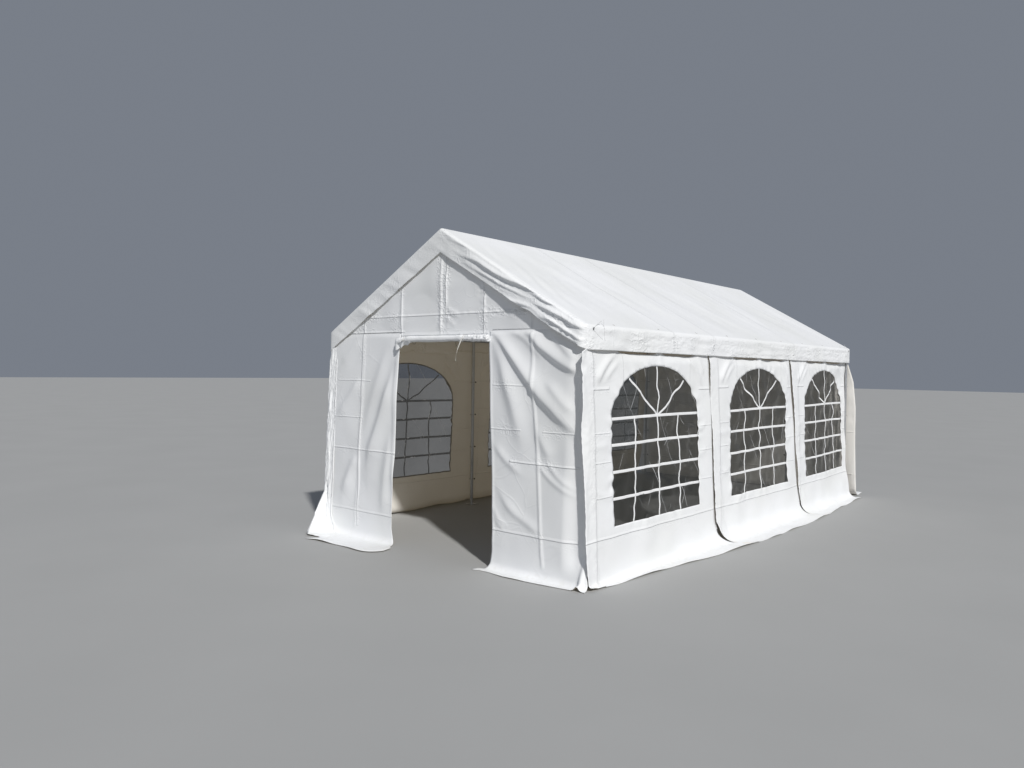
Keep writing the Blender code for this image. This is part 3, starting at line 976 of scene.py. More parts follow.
@dataclass
class RoofCover:
    """The roof cloth: two slopes over the ridge, with a valance hanging all round.

    One sheet. Its main grid runs from the left hem over the ridge to the right hem, and
    the gable valances hang from its two ends and share their edge points.
    """

    sizes: TentSizes
    valance_rows: int = 22
    slope_rows: int = 62
    columns: int = 190
    sag: float = 0.013
    proud_top: float = 0.002
    slack: float = 0.034
    tidy: float = 0.006
    bulge: float = 0.002
    notch: float = 0.014

    def slack_folds(self) -> Layers:
        """Lists the long folds of the slack valance on the right of the front gable."""
        return [
            Fold(((0.20, 2.565), (0.30, 2.522), (0.44, 2.472), (0.563, 2.408), (0.663, 2.354), (0.785, 2.300),
                  (0.927, 2.252), (1.043, 2.203), (1.155, 2.148), (1.26, 2.11)),
                 0.020, (0.030, 0.030), (0.009, 0.010), (0.2, 0.1), (0.35, 0.75), 2.2),
            Fold(((0.95, 2.222), (1.09, 2.152), (1.178, 2.108), (1.287, 2.086), (1.40, 2.052), (1.50, 2.0)),
                 0.013, (0.020, 0.022), (0.008, 0.009), (0.1, 0.3), power=2.2),
            Fold(((1.05, 2.105), (1.20, 2.044), (1.31, 1.998), (1.417, 1.940), (1.515, 1.900)),
                 0.019, (0.024, 0.026), (0.009, 0.009), (0.15, 0.6), power=2.2),
            Fold(((0.10, 2.690), (0.33, 2.602), (0.46, 2.553), (0.56, 2.514), (0.70, 2.415), (0.80, 2.385)),
                 0.009, (0.017, 0.017), (0.006, 0.006), (0.2, 0.2)),
            Fold(((0.14, 2.735), (0.30, 2.650), (0.44, 2.585), (0.60, 2.50)),
                 0.007, (0.014, 0.014), (0.006, 0.006), (0.2, 0.2)),
            Fold(((0.30, 2.465), (0.55, 2.345), (0.72, 2.262), (0.88, 2.195), (1.0, 2.14)),
                 0.008, (0.016, 0.016), (0.006, 0.006), (0.2, 0.2)),
            Fold(((0.66, 2.405), (0.80, 2.352), (1.0, 2.262), (1.18, 2.185), (1.32, 2.135)),
                 0.008, (0.013, 0.013), (0.005, 0.005), (0.2, 0.2)),
            Fold(((0.70, 2.170), (0.84, 2.128), (0.95, 2.098), (1.04, 2.070)),
                 0.010, (0.017, 0.017), (0.007, 0.007), (0.2, 0.2)),
            Fold(((1.10, 1.992), (1.202, 1.975), (1.31, 1.918), (1.417, 1.862), (1.522, 1.802)),
                 0.014, (0.018, 0.018), (0.008, 0.008), (0.2, 0.6)),
            Facets(0.0020, 0.07, 0.24, 31), Ripples(0.0007, 0.05, 0.16, 32, radians(62), 0.4),
        ]

    def section(self) -> tuple[Array, Array, Array, Array]:
        """Gives the main grid's section, from the left hem to the ridge and mirrored.

        Returns:
            Distance across, height and the two parts of the outward normal.
        """
        k = self.sizes
        up = linspace(k.hem_z, k.eave_z, self.valance_rows + 1)[:-1]
        length = hypot(k.cover_x, k.ridge_z - k.eave_z)
        run = swell(0, length, self.slope_rows) * k.cover_x / length - k.cover_x
        x, z = concatenate([0 * up - k.cover_x, run]), concatenate([up, k.roof_z(run)])
        x, z = concatenate([x, -x[-2::-1]]), concatenate([z, z[-2::-1]])
        hanging = np.zeros(len(x), bool)
        hanging[: self.valance_rows] = hanging[-self.valance_rows:] = True
        tilt = atan(k.slope)
        return x, z, np.where(hanging, 1.0, sin(tilt)) * np.sign(x), np.where(hanging, 0.0, cos(tilt))

    def slope_relief(self, x: Array, y: Array) -> Array:
        """Gives the slopes' sag between the rafters and the waves that run down them.

        Formula: the sag grows from each rafter by 1 - (1 - f) squared, with f the share of
        half a bay, and from ridge and eave by a sine; waves are added to it.

        Args:
            x: Distance across.
            y: Distance along.

        Returns:
            Heights along the slope's normal.
        """
        frames, front = np.array(self.sizes.frames_y), self.sizes.cover_y
        f = clip(2 * np.abs(y[..., None] - frames).min(axis=-1) / (frames[1] - frames[0]), 0, 1)
        hang = sin(pi * clip(1 - np.abs(x) / self.sizes.cover_x, 0, 1)) ** 0.8
        ends = smooth(0, 0.25, np.abs(np.abs(y) - front))
        waves = Ripples(0.0010, 0.20, 0.60, 5, pi / 2, 1.1).at(x, y) + Facets(0.0026, 0.4, 1.1, 7).at(x, y)
        waves += Ripples(0.0020, 0.6, 1.6, 6).at(x, y)
        pulled = Ripples(0.0030, 0.10, 0.34, 8, radians(66), 0.30).at(x, y)
        waves += pulled * hump(y + front, 0.55) * hump(x - 0.85, 0.7)
        patches = clip(Ripples(1.0, 0.5, 1.6, 10).at(x, y), 0, 1) * smooth(-0.10, 0.25, x)
        waves += Ripples(0.0010, 0.035, 0.11, 9, radians(20), 0.22, 22).at(x, y) * patches
        return -self.sag * (1 - (1 - f) ** 2) * hang + waves * hang * ends

    def side_relief(self, x: Array, y: Array, z: Array) -> Array:
        """Gives how far a side valance stands out, by place.

        Formula: a little proud at the hem, with level waves, crumples that come and go
        along it and shallow hollows between the frames.

        Args:
            x: Distance across, all on one side.
            y: Distance along.
            z: Height.

        Returns:
            Distances in metres.
        """
        k = self.sizes
        drop = clip((k.eave_z - z) / k.valance_drop, 0, 1)
        seed = 11 if x.mean() > 0 else 61
        level = Ripples(0.0012, 0.06, 0.18, seed, pi / 2, 0.9).at(y * 0.5, z)
        uneven = Ripples(0.0034, 0.30, 1.1, seed + 1, 0.0, 0.9).at(y, z)
        patchy = smooth(-0.2, 1.0, Ripples(1.0, 0.5, 1.2, seed + 2).at(y, z))
        crumpled = Crumple(0.0052, 0.065, seed + 3).at(y, 1.6 * z) * patchy
        faceted = Facets(0.0022, 0.10, 0.30, seed + 4).at(y, 1.4 * z)
        ends = smooth(0, 0.06, k.cover_y - np.abs(y))
        out = 0.008 + 0.004 * drop + level + uneven * drop + crumpled + faceted
        return self.proud_top + ends * smooth(0, 0.12, drop) * out

    def rake_relief(self, x: Array, z: Array, front: bool) -> Array:
        """Gives how far a gable valance stands out from its plane, by place.

        The right half of the front one is slack: it stands further out towards its hem and
        its corner, and carries the long folds. The others are drawn fairly tight.

        Args:
            x: Distance across.
            z: Height.
            front: True for the front gable.

        Returns:
            Distances in metres.
        """
        k = self.sizes
        top = k.roof_z(x)
        drop = clip((top - z) / (top - k.valance_z(x)), 0, 1)
        held = smooth(0, 0.10, drop) * smooth(0, 0.04, k.cover_x - np.abs(x))
        seed = 41 if front else 71
        waves = Ripples(0.0020, 0.16, 0.6, seed, radians(60), 0.9).at(x, z)
        waves += Ripples(0.0014, 0.05, 0.13, seed + 3, radians(66 if x.max() > 0 else 114), 0.25).at(x, z)
        waves += Crumple(0.0030, 0.07, seed + 1).at(x, z) * smooth(0.2, 1.0, Ripples(1, 0.4, 0.9, seed + 2).at(x, z))
        tight = self.tidy + self.bulge * (1 - drop) + waves * smooth(0, 0.4, drop)
        if not front:
            return self.proud_top + held * tight
        loose = 0.009 + (self.slack - 0.009) * smooth(0.2, 1.05, x) * (0.3 + 0.7 * drop)
        crumpled = Crumple(0.0075, 0.06, 33).at(x, z) * smooth(0.95, 1.25, x) * smooth(0.25, 0.6, drop)
        loose = loose + relief(self.slack_folds(), x, z) + crumpled
        return self.proud_top + held * blend(tight, loose, smooth(-0.06, 0.10, x))

    def build(self) -> None:
        """Makes the roof cloth."""
        k, n = self.sizes, self.valance_rows
        x, z, nx, nz = self.section()
        y = swell(-k.cover_y, k.cover_y, self.columns)
        grid_x, grid_y = np.meshgrid(x, y, indexing="ij")
        grid_z = z[:, None] + 0 * y
        lift = self.slope_relief(grid_x, grid_y)
        for part in (slice(0, n + 1), slice(len(x) - n - 1, len(x))):
            lift[part] = self.side_relief(grid_x[part], grid_y[part], grid_z[part])
        points = xyz(grid_x + lift * nx[:, None], grid_y, grid_z + lift * nz[:, None]).reshape(-1, 3)
        along = concatenate([[0], np.cumsum(np.hypot(np.diff(x), np.diff(z)))])
        flat = xyz(grid_y, (along - along[-1] / 2)[:, None]).reshape(-1, 2)
        index = np.arange(len(points)).reshape(len(x), len(y))
        faces = [face_out(points, grid_faces(index), np.repeat(xyz(nx, 0, nz)[:-1], len(y) - 1, axis=0))]
        for column, side in ((0, -1), (len(y) - 1, 1)):
            grid, extra, extra_flat = self.gable_valance(x, index, column, side, len(points))
            points, flat = concatenate([points, extra]), concatenate([flat, extra_flat])
            faces.append(face_out(points, grid_faces(grid), (0, side, 0)))
        parts = MeshParts()
        parts.add(self.rounded(points, faces), faces, flat)
        obj = parts.build("roof_cloth")
        welds = [weld(UPRIGHT, at, -1.9, 1.9, 0.045) for at in (-0.99, 0.99)]
        welds += [weld(UPRIGHT, -1.745, -3.2, 3.2, 0.040)]
        welds += [weld(LEVEL, at, -2.99, 2.99, 0.030) for at in (1.95, -1.95)]
        line_with_cloth(obj, ClothFinish("roof_cloth", tuple(welds), crinkle=0.0008, creased=0.0003, pressed=0.0009,
                                         crumpled_from=1.77, soil_height=0.01))
        settle(obj, "roof_fabric", "roof_cover")

    def gable_valance(self, x: Array, index: Array, column: int, side: int, start: int) -> tuple[Array, Array, Array]:
        """Works out the valance that hangs from one end of the main grid.

        Args:
            x: The section's distances across.
            index: Vertex numbers of the main grid.
            column: The main grid's end column.
            side: -1 at the front, 1 at the back.
            start: Number of the next new vertex.

        Returns:
            The valance's vertex numbers, its new points and their flat coordinates.
        """
        k, n = self.sizes, self.valance_rows
        rake = slice(n, len(x) - n)
        grid = np.empty((n + 1, len(x) - 2 * n), int)
        grid[0], grid[:, 0], grid[:, -1] = index[rake, column], index[n::-1, column], index[len(x) - n - 1:, column]
        new_x = np.repeat(x[rake][None, 1:-1], n, axis=0)
        hem_z = k.valance_z(new_x) + (self.notch * hump(new_x - 1.02, 0.05) if side < 0 else 0.0)
        new_z = blend(k.roof_z(new_x), hem_z, (np.arange(1, n + 1) / n)[:, None])
        new_y = side * (k.cover_y + self.rake_relief(new_x, new_z, side < 0))
        grid[1:, 1:-1] = start + np.arange(new_x.size).reshape(new_x.shape)
        return grid, xyz(new_x, new_y, new_z).reshape(-1, 3), xyz(new_x, new_z + 10.0).reshape(-1, 2)

    def rounded(self, points: Array, faces: Sequence[Array]) -> Array:
        """Rounds the sheet where it folds over tubes, by averaging neighbours there.

        Formula: four passes in which each point near a fold moves half way to the mean of
        its neighbours; hems stay.

        Args:
            points: Vertex positions.
            faces: The sheet's faces.

        Returns:
            The new positions.
        """
        k = self.sizes
        every = concatenate(faces)
        pairs = concatenate([every[:, [i, (i + 1) % 4]] for i in range(4)])
        x, y, z = np.abs(points[:, 0]), np.abs(points[:, 1]), points[:, 2]
        near_rake = (np.abs(z - k.roof_z(x)) < 0.014) & (k.cover_y - y < 0.014)
        move = (np.hypot(x - k.cover_x, z - k.eave_z) < 0.032) | (x < 0.026) | near_rake
        move |= np.hypot(x - k.cover_x, y - k.cover_y) < 0.022
        move &= z >= k.valance_z(x) + 0.003
        count = np.maximum(np.bincount(pairs[:, 0], minlength=len(points)), 1)
        for _ in range(4):
            total = [np.bincount(pairs[:, 0], weights=points[pairs[:, 1], axis], minlength=len(points))
                     for axis in range(3)]
            points = np.where(move[:, None], (points + xyz(*total) / count[:, None]) / 2, points)
        return points


@dataclass
class CornerPatch:
    """The stitched patch with an eyelet at each corner of the side valances."""

    cover: RoofCover
    eyelet_in: float = 0.070
    eyelet_z: float = 1.904
    eyelet_radius: float = 0.0075
    seams: tuple[tuple[Point2, Point2], ...] = (
        ((0.085, 0.010), (0.185, 0.062)), ((0.080, -0.012), (0.185, -0.075)), ((0.215, 0.078), (0.215, -0.085)))

    def on_valance(self, side: int, y: Array, z: Array, proud: float) -> Array:
        """Returns points on a side valance's cloth, stood out from it a little."""
        x = np.full(y.shape, side * self.cover.sizes.cover_x)
        return xyz(x + side * (self.cover.side_relief(x, y, z) + proud), y, z)

    def build(self) -> None:
        """Makes the seams and eyelets of all four corners."""
        seams, rings = MeshParts(), MeshParts()
        turn, share = linspace(0, 2 * pi, 20, endpoint=False), linspace(0, 1, 12)
        corner = self.cover.sizes.cover_y
        for side, end in ((-1, -1), (-1, 1), (1, -1), (1, 1)):
            out = np.array([side, 0.0, 0.0])
            for (first_in, first_up), (last_in, last_up) in self.seams:
                y = end * (corner - blend(first_in, last_in, share))
                z = self.eyelet_z + blend(first_up, last_up, share)
                seams.add_tube(sweep(self.on_valance(side, y, z, 0.0004), out, flat_section(0.0045, 0.0009)))
            y = end * (corner - self.eyelet_in) + self.eyelet_radius * cos(turn)
            path = self.on_valance(side, y, self.eyelet_z + self.eyelet_radius * sin(turn), 0.0012)
            rings.add_tube(carried(path, unit(path - path.mean(axis=0)), out, round_section(0.0026, 6)), looped=True)
        for parts, name, finish in (
                (seams, "valance_corner_seams", WebbingFinish("seam_thread", (0.70, 0.71, 0.72), 1500.0)),
                (rings, "valance_eyelets", SteelFinish("eyelet_metal", (0.16, 0.16, 0.17), (0.24, 0.24, 0.25)))):
            obj = parts.build(name)
            dress(obj, finish.build())
            settle(obj, "roof_fabric")


@dataclass(frozen=True)
class ArchedWindow:
    """The window's outline, round the middle of the line from which its arch springs."""

    half_width: float = 0.70
    sill_z: float = 0.413
    spring_z: float = 1.232
    rise: float = 0.408
    pucker: float = 0.022
    bars_z: Values = (1.232, 1.03, 0.822, 0.618)
    uprights: Values = (-0.345, 0.0, 0.34)
    spokes: tuple[Point2, ...] = ((-0.43, 1.529), (0.0, 1.64), (0.45, 1.512))

    def shrink(self, angle: Array) -> Array:
        """Gives the share by which the arch is drawn in at its shoulders."""
        return 1 - self.pucker * (hump(angle - 0.46, 0.17) + hump(angle - 2.66, 0.17))

    def inside(self, y: Array, z: Array) -> Array:
        """Tells which points lie inside the outline."""
        up = z - self.spring_z
        reach = np.hypot(y / self.half_width, up / self.rise)
        arch = (up > 0) & (reach < self.shrink(np.arctan2(up / self.rise, y / self.half_width)))
        return (np.abs(y) < self.half_width) & (up <= 0) & (z > self.sill_z) | arch

    def outline(self, count: int = 360) -> Array:
        """Lists points round the outline, anticlockwise from the sill's left corner.

        Formula: straight along the sill and up the right side, then the half ellipse with
        its drawn-in shoulders, then down the left side.

        Args:
            count: Number of points on the arch.

        Returns:
            The points.
        """
        w, angle = self.half_width, linspace(0, pi, count)
        arch = xyz(w * cos(angle), self.rise * sin(angle)) * self.shrink(angle)[:, None] + (0, self.spring_z)
        side = linspace(self.sill_z, self.spring_z, count // 4)
        return concatenate([xyz(linspace(-w, w, count // 3), self.sill_z), xyz(w, side), arch, xyz(-w, side[::-1])])

    def distance(self, y: Array, z: Array) -> Array:
        """Gives each point's distance to the outline, outside or inside."""
        flat = xyz(y.ravel(), z.ravel())[:, None]
        gaps = [np.linalg.norm(flat - part, axis=2).min(axis=1) for part in np.array_split(self.outline(120), 8)]
        return np.min(gaps, axis=0).reshape(y.shape)

    def snapped(self, y: Array, z: Array, chosen: Array) -> tuple[Array, Array]:
        """Moves chosen points onto the nearest place of the outline.

        Args:
            y: Distances along the tent.
            z: Heights.
            chosen: Which points to move.

        Returns:
            The new distances and heights.
        """
        line, y, z = self.outline(900), y.copy(), z.copy()
        nearest = np.linalg.norm(xyz(y[chosen], z[chosen])[:, None] - line, axis=2).argmin(axis=1)
        y[chosen], z[chosen] = line[nearest].T
        return y, z


def corners_of(cells: Array) -> Array:
    """Tells which points of a grid are a corner of a chosen cell."""
    padded = np.pad(cells, 1)
    return padded[1:, 1:] | padded[1:, :-1] | padded[:-1, 1:] | padded[:-1, :-1]


@dataclass
class SideBay:
    """One bay of a long wall: the cloth panel with its skirt, the window film and its straps."""

    sizes: TentSizes
    side: int
    bay: int
    window: ArchedWindow = field(default_factory=ArchedWindow)
    lean: float = 0.04
    tight_bend: float = 0.045
    hem_places: Values = (-2.99, -2.42, -1.95, -1.52, -1.05, -0.28, 0.43, 1.01, 2.03, 2.84)
    hem_outs: Values = (0.057, 0.096, 0.120, 0.195, 0.223, 0.265, 0.264, 0.261, 0.182, 0.137)
    corner_recess: float = 0.05
    hidden: float = 0.052
    lapped: float = 0.014
    step: float = 0.0165
    top_peak: float = 1.80
    top_valley: float = 1.733
    peaks: Values = (-0.90, -0.63, 0.05, 0.72, 0.86)
    curl_heights: Values = (0.0, 0.28, 0.54, 0.73, 0.93, 1.18, 1.34, 1.57, 1.62, 1.72)
    curl_outs: Values = (0.011, 0.006, 0.011, 0.006, -0.006, -0.016, 0.003, 0.006, -0.012, 0.010)
    level_width: float = 0.023
    upright_width: float = 0.018
    strap_thickness: float = 0.0014
    film_depth: float = 0.006
    film_lap: float = 0.012
    bend_top: float = 0.16
    returns: Values = (0.003, 0.028, 0.056)
    return_depth: float = 0.016
    returns_above: float = 0.13

    def __post_init__(self) -> None:
        """Works out the bay's place, its name and its random seed."""
        self.seed = 100 + 10 * self.bay + (5 if self.side < 0 else 0)
        self.name = f"{'right' if self.side > 0 else 'left'}_{('front', 'middle', 'back')[self.bay]}"
        low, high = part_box(f"window_{self.name}")
        self.centre = (low.y + high.y) / 2
        self.start = float(self.front_edge(np.array(1.0))) - self.centre
        self.end = float(self.back_edge(np.array(1.0))) - self.centre

    def foot(self, y: Array) -> tuple[HemProfile, Array]:
        """Gives the wall's section and how far its skirt lies out.

        Formula: the hem's distance from the wall's foot is read between measured places. The
        bend's radius grows by half of it, and the skirt reaches the rest.

        Args:
            y: Distances along the tent from the window's middle.

        Returns:
            The section, with a bend for each place, and the skirt's reach beyond the bend.
        """
        k = self.sizes
        out = interp(y + self.centre, self.hem_places, self.hem_outs)
        bend = self.tight_bend + 0.5 * (out - self.hem_outs[0])
        profile = HemProfile(k.posts_x + k.tube_radius + 0.0018, k.eave_tube_z, self.lean, bend)
        return profile, out - (1 - self.lean) * bend + Ripples(0.0035, 0.4, 1.1, self.seed + 8).at(y, 0 * y)

    def recess(self, y: Array, z: Array) -> Array:
        """Gives how far the back bay's panel is drawn in towards the corner post."""
        drawn = smooth(1.75, 3.0, y + self.centre) * smooth(0.0, 0.5, z) * (1 - 0.4 * smooth(1.5, 1.75, z))
        return self.corner_recess * drawn * (self.bay == 2)

    def front_edge(self, z: Array) -> Array:
        """Gives where the panel's front edge lies along the tent, by height.

        The front panel's edge stands past the corner post. The others taper backwards to
        the foot, where the panel in front laps over them.
        """
        if self.side < 0 and self.bay > 0:
            return self.sizes.frames_y[self.bay] + self.hidden - self.lapped + 0 * z
        heights, places = {
            (-1, 0): ((-0.3, 0.0, 0.3), (-2.93, -2.94, -2.965)),
            (1, 0): ((-0.3, 0.0, 0.14, 1.0, 1.73, 1.76), (-3.020, -3.046, -3.060, -3.068, -3.066, -2.998)),
            (1, 1): ((-0.3, 0.0, 0.21, 0.57, 1.0, 1.4, 1.74), (-0.71, -0.80, -0.955, -0.982, -1.002, -1.028, -1.036)),
            (1, 2): ((-0.3, 0.0, 0.36, 0.8, 1.38, 1.73), (1.31, 1.215, 1.112, 1.048, 0.990, 0.950)),
        }[self.side, self.bay]
        return interp(z, heights, places)

    def back_edge(self, z: Array) -> Array:
        """Gives where the panel's back edge lies along the tent, by height.

        It scallops between its ties and sweeps backwards on the ground over the next panel.
        """
        scallop = 0.003 * cos(2 * pi * z / 0.42 + self.bay)
        if self.bay == 2:
            return 2.935 + scallop
        scallop = scallop * smooth(0.1, 0.4, z)
        if self.side < 0:
            return self.sizes.frames_y[self.bay + 1] + self.hidden + scallop
        heights, places = (
            ((-0.30, -0.12, 0.0, 0.10, 0.22, 0.574, 1.0, 1.4, 1.74),
             (-0.56, -0.66, -0.82, -0.925, -0.993, -1.007, -1.018, -1.053, -1.068)),
            ((-0.3, 0.0, 0.365, 0.8, 1.38, 1.73), (1.30, 1.181, 1.081, 1.015, 0.957, 0.917)),
        )[self.bay]
        return interp(z, heights, places) + scallop

    def layers(self) -> Layers:
        """Lists the folds and waves of the panel, round its window's middle."""
        small = (0.02, 0.03), (0.02, 0.03)
        return [
            Ripples(0.0036, 0.35, 1.0, self.seed),
            Facets(0.0014, 0.14, 0.45, self.seed + 1),
            Fold(((-0.90, 1.49), (-0.85, 1.57), (-0.74, 1.665), (-0.64, 1.73)),
                 0.020, (0.05, 0.035), (0.030, 0.022), (0.1, 0.7), power=2.2),
            Fold(((-0.78, 1.52), (-0.70, 1.59), (-0.60, 1.66)), 0.010, (0.035, 0.02), (0.025, 0.02), (0.2, 0.4)),
            Fold(((0.50, 1.73), (0.60, 1.66), (0.70, 1.56), (0.78, 1.44)),
                 0.015, (0.03, 0.05), (0.02, 0.030), (0.6, 0.1), power=2.2),
            Fold(((0.72, 1.74), (0.77, 1.65), (0.82, 1.56)), 0.011, (0.03, 0.03), (0.02, 0.025), (0.6, 0.2)),
            Fold(((-0.16, 1.71), (0.0, 1.745), (0.12, 1.70)), 0.008, (0.03, 0.03), (0.03, 0.03)),
            Fold(((0.70, 1.06), (0.78, 1.10), (0.86, 1.16)), 0.007, *small),
            Fold(((0.70, 0.85), (0.78, 0.88), (0.86, 0.90)), 0.006, *small),
            Fold(((-1.0, 1.02), (-0.86, 1.03), (-0.72, 1.04)), 0.006, *small),
            Fold(((-0.97, 0.72), (-0.86, 0.66), (-0.72, 0.66)), 0.006, *small),
        ]

    def wall_relief(self, y: Array, z: Array) -> Array:
        """Gives how far the panel's cloth stands out of its plane.

        Formula: the folds, plus puckers across the window's edge that fade 60 mm away from
        it, plus crumples on the skirt, plus the proud margin along the front edge. It all
        fades out under the valance.

        Args:
            y: Distance along the tent from the window's middle.
            z: Height, below zero on the skirt.

        Returns:
            Heights in metres.
        """
        turn = np.arctan2(z - 1.0, y * 0.8)
        pucker = Ripples(0.0034, 0.10, 0.30, self.seed + 2, 0.0, 0.3).at(turn * 0.9, 0 * turn)
        pucker *= hump(self.window.distance(y, z), 0.055, 1.5)
        foot = Ripples(0.0018, 0.40, 1.0, self.seed + 3).at(y, z) * smooth(0.06, -0.05, z)
        low = Facets(0.0026 if self.side > 0 else 0.0070, 0.20, 0.6, self.seed + 4).at(y, z)
        low *= smooth(0.5, 0.2, z) * smooth(-0.05, 0.08, z)
        crinkled = np.maximum(Crumple(0.004, 0.05, self.seed + 10).at(y, 0.6 * z), -0.002)
        strip = 0.0055 + crinkled * smooth(0.0, 0.2, z)
        strip *= smooth(0.012, -0.004, y - (self.front_edge(z) - self.centre + 0.150))
        lift = 0.005 + relief(self.layers(), y, z) + pucker + np.maximum(foot, -0.001) + low + strip
        under = smooth(self.sizes.hem_z + 0.01, self.sizes.hem_z - 0.10, z)
        return lift * np.maximum(under, 0.06) - 0.010 * smooth(1.66, 1.74, z) * (1 - self.peak_share(y))

    def peak_share(self, y: Array) -> Array:
        """Gives 1 where the top edge is tied up and 0 half way between two ties."""
        peaks = np.array(self.peaks)
        at = clip(np.searchsorted(peaks, y) - 1, 0, len(peaks) - 2)
        gap = peaks[at + 1] - peaks[at]
        share = clip((y - peaks[at]) / gap, 0, 1)
        return 1 - np.minimum(1.0, (gap / 0.6) ** 2) * (1 - np.abs(2 * share - 1) ** 9)

    def place(self, y: Array, z: Array, lift: Array) -> Array:
        """Puts panel coordinates into the tent's frame.

        Args:
            y: Distance along the tent from the window's middle.
            z: Height of the wall's plane, below zero on the skirt by the share of its reach.
            lift: Distance out of the plane.

        Returns:
            Points.
        """
        p, reach = self.foot(y)
        bend_start = p.top_z - p.straight * cos(p.angle)
        s = p.straight + clip((bend_start - z) / bend_start, 0, 1) * p.bend
        s = np.where(z >= bend_start, (p.top_z - z) / cos(p.angle), s)
        out, height, n_out, n_z = p.at(np.where(z < 0, p.straight + p.bend - z * reach, s))
        x = self.side * (out - self.recess(y, z) + lift * n_out)
        return xyz(x, self.centre + y, np.maximum(height + lift * n_z, LOWEST))

    def grid(self) -> tuple[Array, Array]:
        """Gives the panel's grid: its columns and the heights of its points.

        Returns:
            Distances along by column, and heights by row and column.
        """
        w, step = self.window, self.step
        stops = (self.start, -w.half_width, w.half_width, self.end)
        y = concatenate([linspace(a, b, round((b - a) / step), endpoint=False) for a, b in zip(stops[:2], stops[1:3])]
                        + [linspace(w.half_width, self.end, round((self.end - w.half_width) / step) + 1),
                           self.end + np.array(self.returns if self.bay < 2 and self.side > 0 else ())])
        crown = w.spring_z + w.rise + 0.02
        z = concatenate([linspace(a, b, round((a - b) / step), endpoint=False)
                         for a, b in ((crown, w.sill_z), (w.sill_z, self.bend_top))]
                        + [self.bend_top * (1 - linspace(0, 1, 15)) ** 1.3, -linspace(0, 1, 13)[1:]])
        top = blend(self.top_valley + (0.03 if self.side < 0 else 0.0), self.top_peak, self.peak_share(y))
        return y, concatenate([crown + linspace(1, 0, 9)[:-1, None] * (top - crown), z[:, None] + 0 * y])

    def panel(self) -> None:
        """Makes the cloth panel with its arched opening.

        The grid's cells inside the opening are left out, and the points round it are moved
        onto its outline before the relief is worked out.
        """
        w, start, end = self.window, self.start, self.end
        y, z = self.grid()
        grid_y = y + 0 * z
        middle_y, middle_z = (grid_y[:-1, :-1] + grid_y[1:, 1:]) / 2, (z[:-1, :-1] + z[1:, 1:]) / 2
        hole = w.inside(middle_y, middle_z)
        grid_y, z = w.snapped(grid_y, z, corners_of(hole) & corners_of(~hole))
        wobble = Ripples(0.0028, 0.10, 0.35, self.seed + 6).at(grid_y, z) * hump(w.distance(grid_y, z), 0.05)
        edge_z = np.where(z < 0, z * 0.3, z)
        near_back = smooth(0.24, 0.0, end - grid_y)
        moved = grid_y + smooth(0.24, 0.0, grid_y - start) * (self.front_edge(edge_z) - self.centre - start)
        moved = moved + near_back * (self.back_edge(edge_z) - self.centre - end) + wobble
        lift = self.wall_relief(moved, np.where(z < 0, z * 0.2, z))
        if self.bay == 0 and self.side > 0:
            lift = lift + interp(z, self.curl_heights, self.curl_outs) * smooth(0.07, 0.0, grid_y - start)
        if self.bay < 2:
            lift = lift + 0.007 * near_back * smooth(0.15, 0.0, z)
        lift = lift - self.return_depth * smooth(0.0, self.returns[0], grid_y - end)
        hole |= (middle_y > end) & (middle_z < self.returns_above)
        flat = xyz(moved, np.where(z < 0, z * self.foot(moved)[1], z))
        profile, reach = self.foot(y)
        drop = float(np.mean(profile.straight + profile.bend + reach))
        opening = 2 * w.half_width * (w.spring_z - w.sill_z) + pi / 2 * w.half_width * w.rise
        hang_sheet(f"wall_cloth_{self.name}", self.place(moved, z, lift), flat, (self.side, 0, 0.2), self.finish(),
                   "wall_fabric", [f"wall_{self.name}"], ~hole, flat=(end - start, drop), held="hung",
                   rests_on=[f"eave_tube_{self.name}"], area=(end - start) * (drop - 0.15) - opening)

    def finish(self) -> ClothFinish:
        """Returns the panel's cloth with its welds and storage creases."""
        marks = [weld(UPRIGHT, self.start + 0.140, 0.0, 1.9, 0.016), weld(LEVEL, 0.335, -1.2, 1.2, 0.022)]
        for z in (1.455, 1.125, 0.905, 0.645):
            kind = weld if z > 1.4 else crease
            marks += [kind(LEVEL, z, -0.95, -0.72), kind(LEVEL, z - 0.01, 0.72, 1.05)]
        marks += [crease(UPRIGHT, at, 1.42, 1.75) for at in (-0.53, 0.56)]
        return ClothFinish(f"wall_cloth_{self.name}", tuple(marks))

    def film_relief(self, y: Array, z: Array) -> Array:
        """Gives the film's distance out of the wall's plane: under the cloth at its edge."""
        free = smooth(0.0, 0.16, np.where(self.window.inside(y, z), self.window.distance(y, z), 0))
        waves = Ripples(0.0050, 0.16, 0.5, self.seed + 7).at(y, z) + Crumple(0.0045, 0.22, self.seed + 9).at(y, z)
        return blend(self.wall_relief(y, z), waves + 0.003, free) - self.film_depth

    def film(self) -> None:
        """Makes the window film: columns across the window, each from sill to arch.

        Formula: rows are shares of the height from 12 mm below the sill to 12 mm above the
        arch at that column.
        """
        w, lap = self.window, self.film_lap
        outer = w.half_width + lap
        y = -outer * cos(linspace(0, pi, 67)) * 0.35 + linspace(-outer, outer, 67) * 0.65
        top = w.spring_z + (w.rise + lap) * np.sqrt(clip(1 - (y / outer) ** 2, 0, 1))
        z = blend(w.sill_z - lap, top, linspace(0, 1, 57)[:, None])
        y = y + 0 * z
        hang_sheet(f"film_{self.name}", self.place(y, z, self.film_relief(y, z)), xyz(y, z), (self.side, 0, 0),
                   FilmFinish(f"window_film_{self.name}"), "window_film", [f"window_{self.name}"],
                   flat=(2 * outer, w.spring_z + w.rise + 2 * lap - w.sill_z), held="stretched",
                   rests_on=[f"wall_cloth_{self.name}"],
                   area=2 * outer * (w.spring_z - w.sill_z + lap) + pi / 2 * outer * (w.rise + lap))

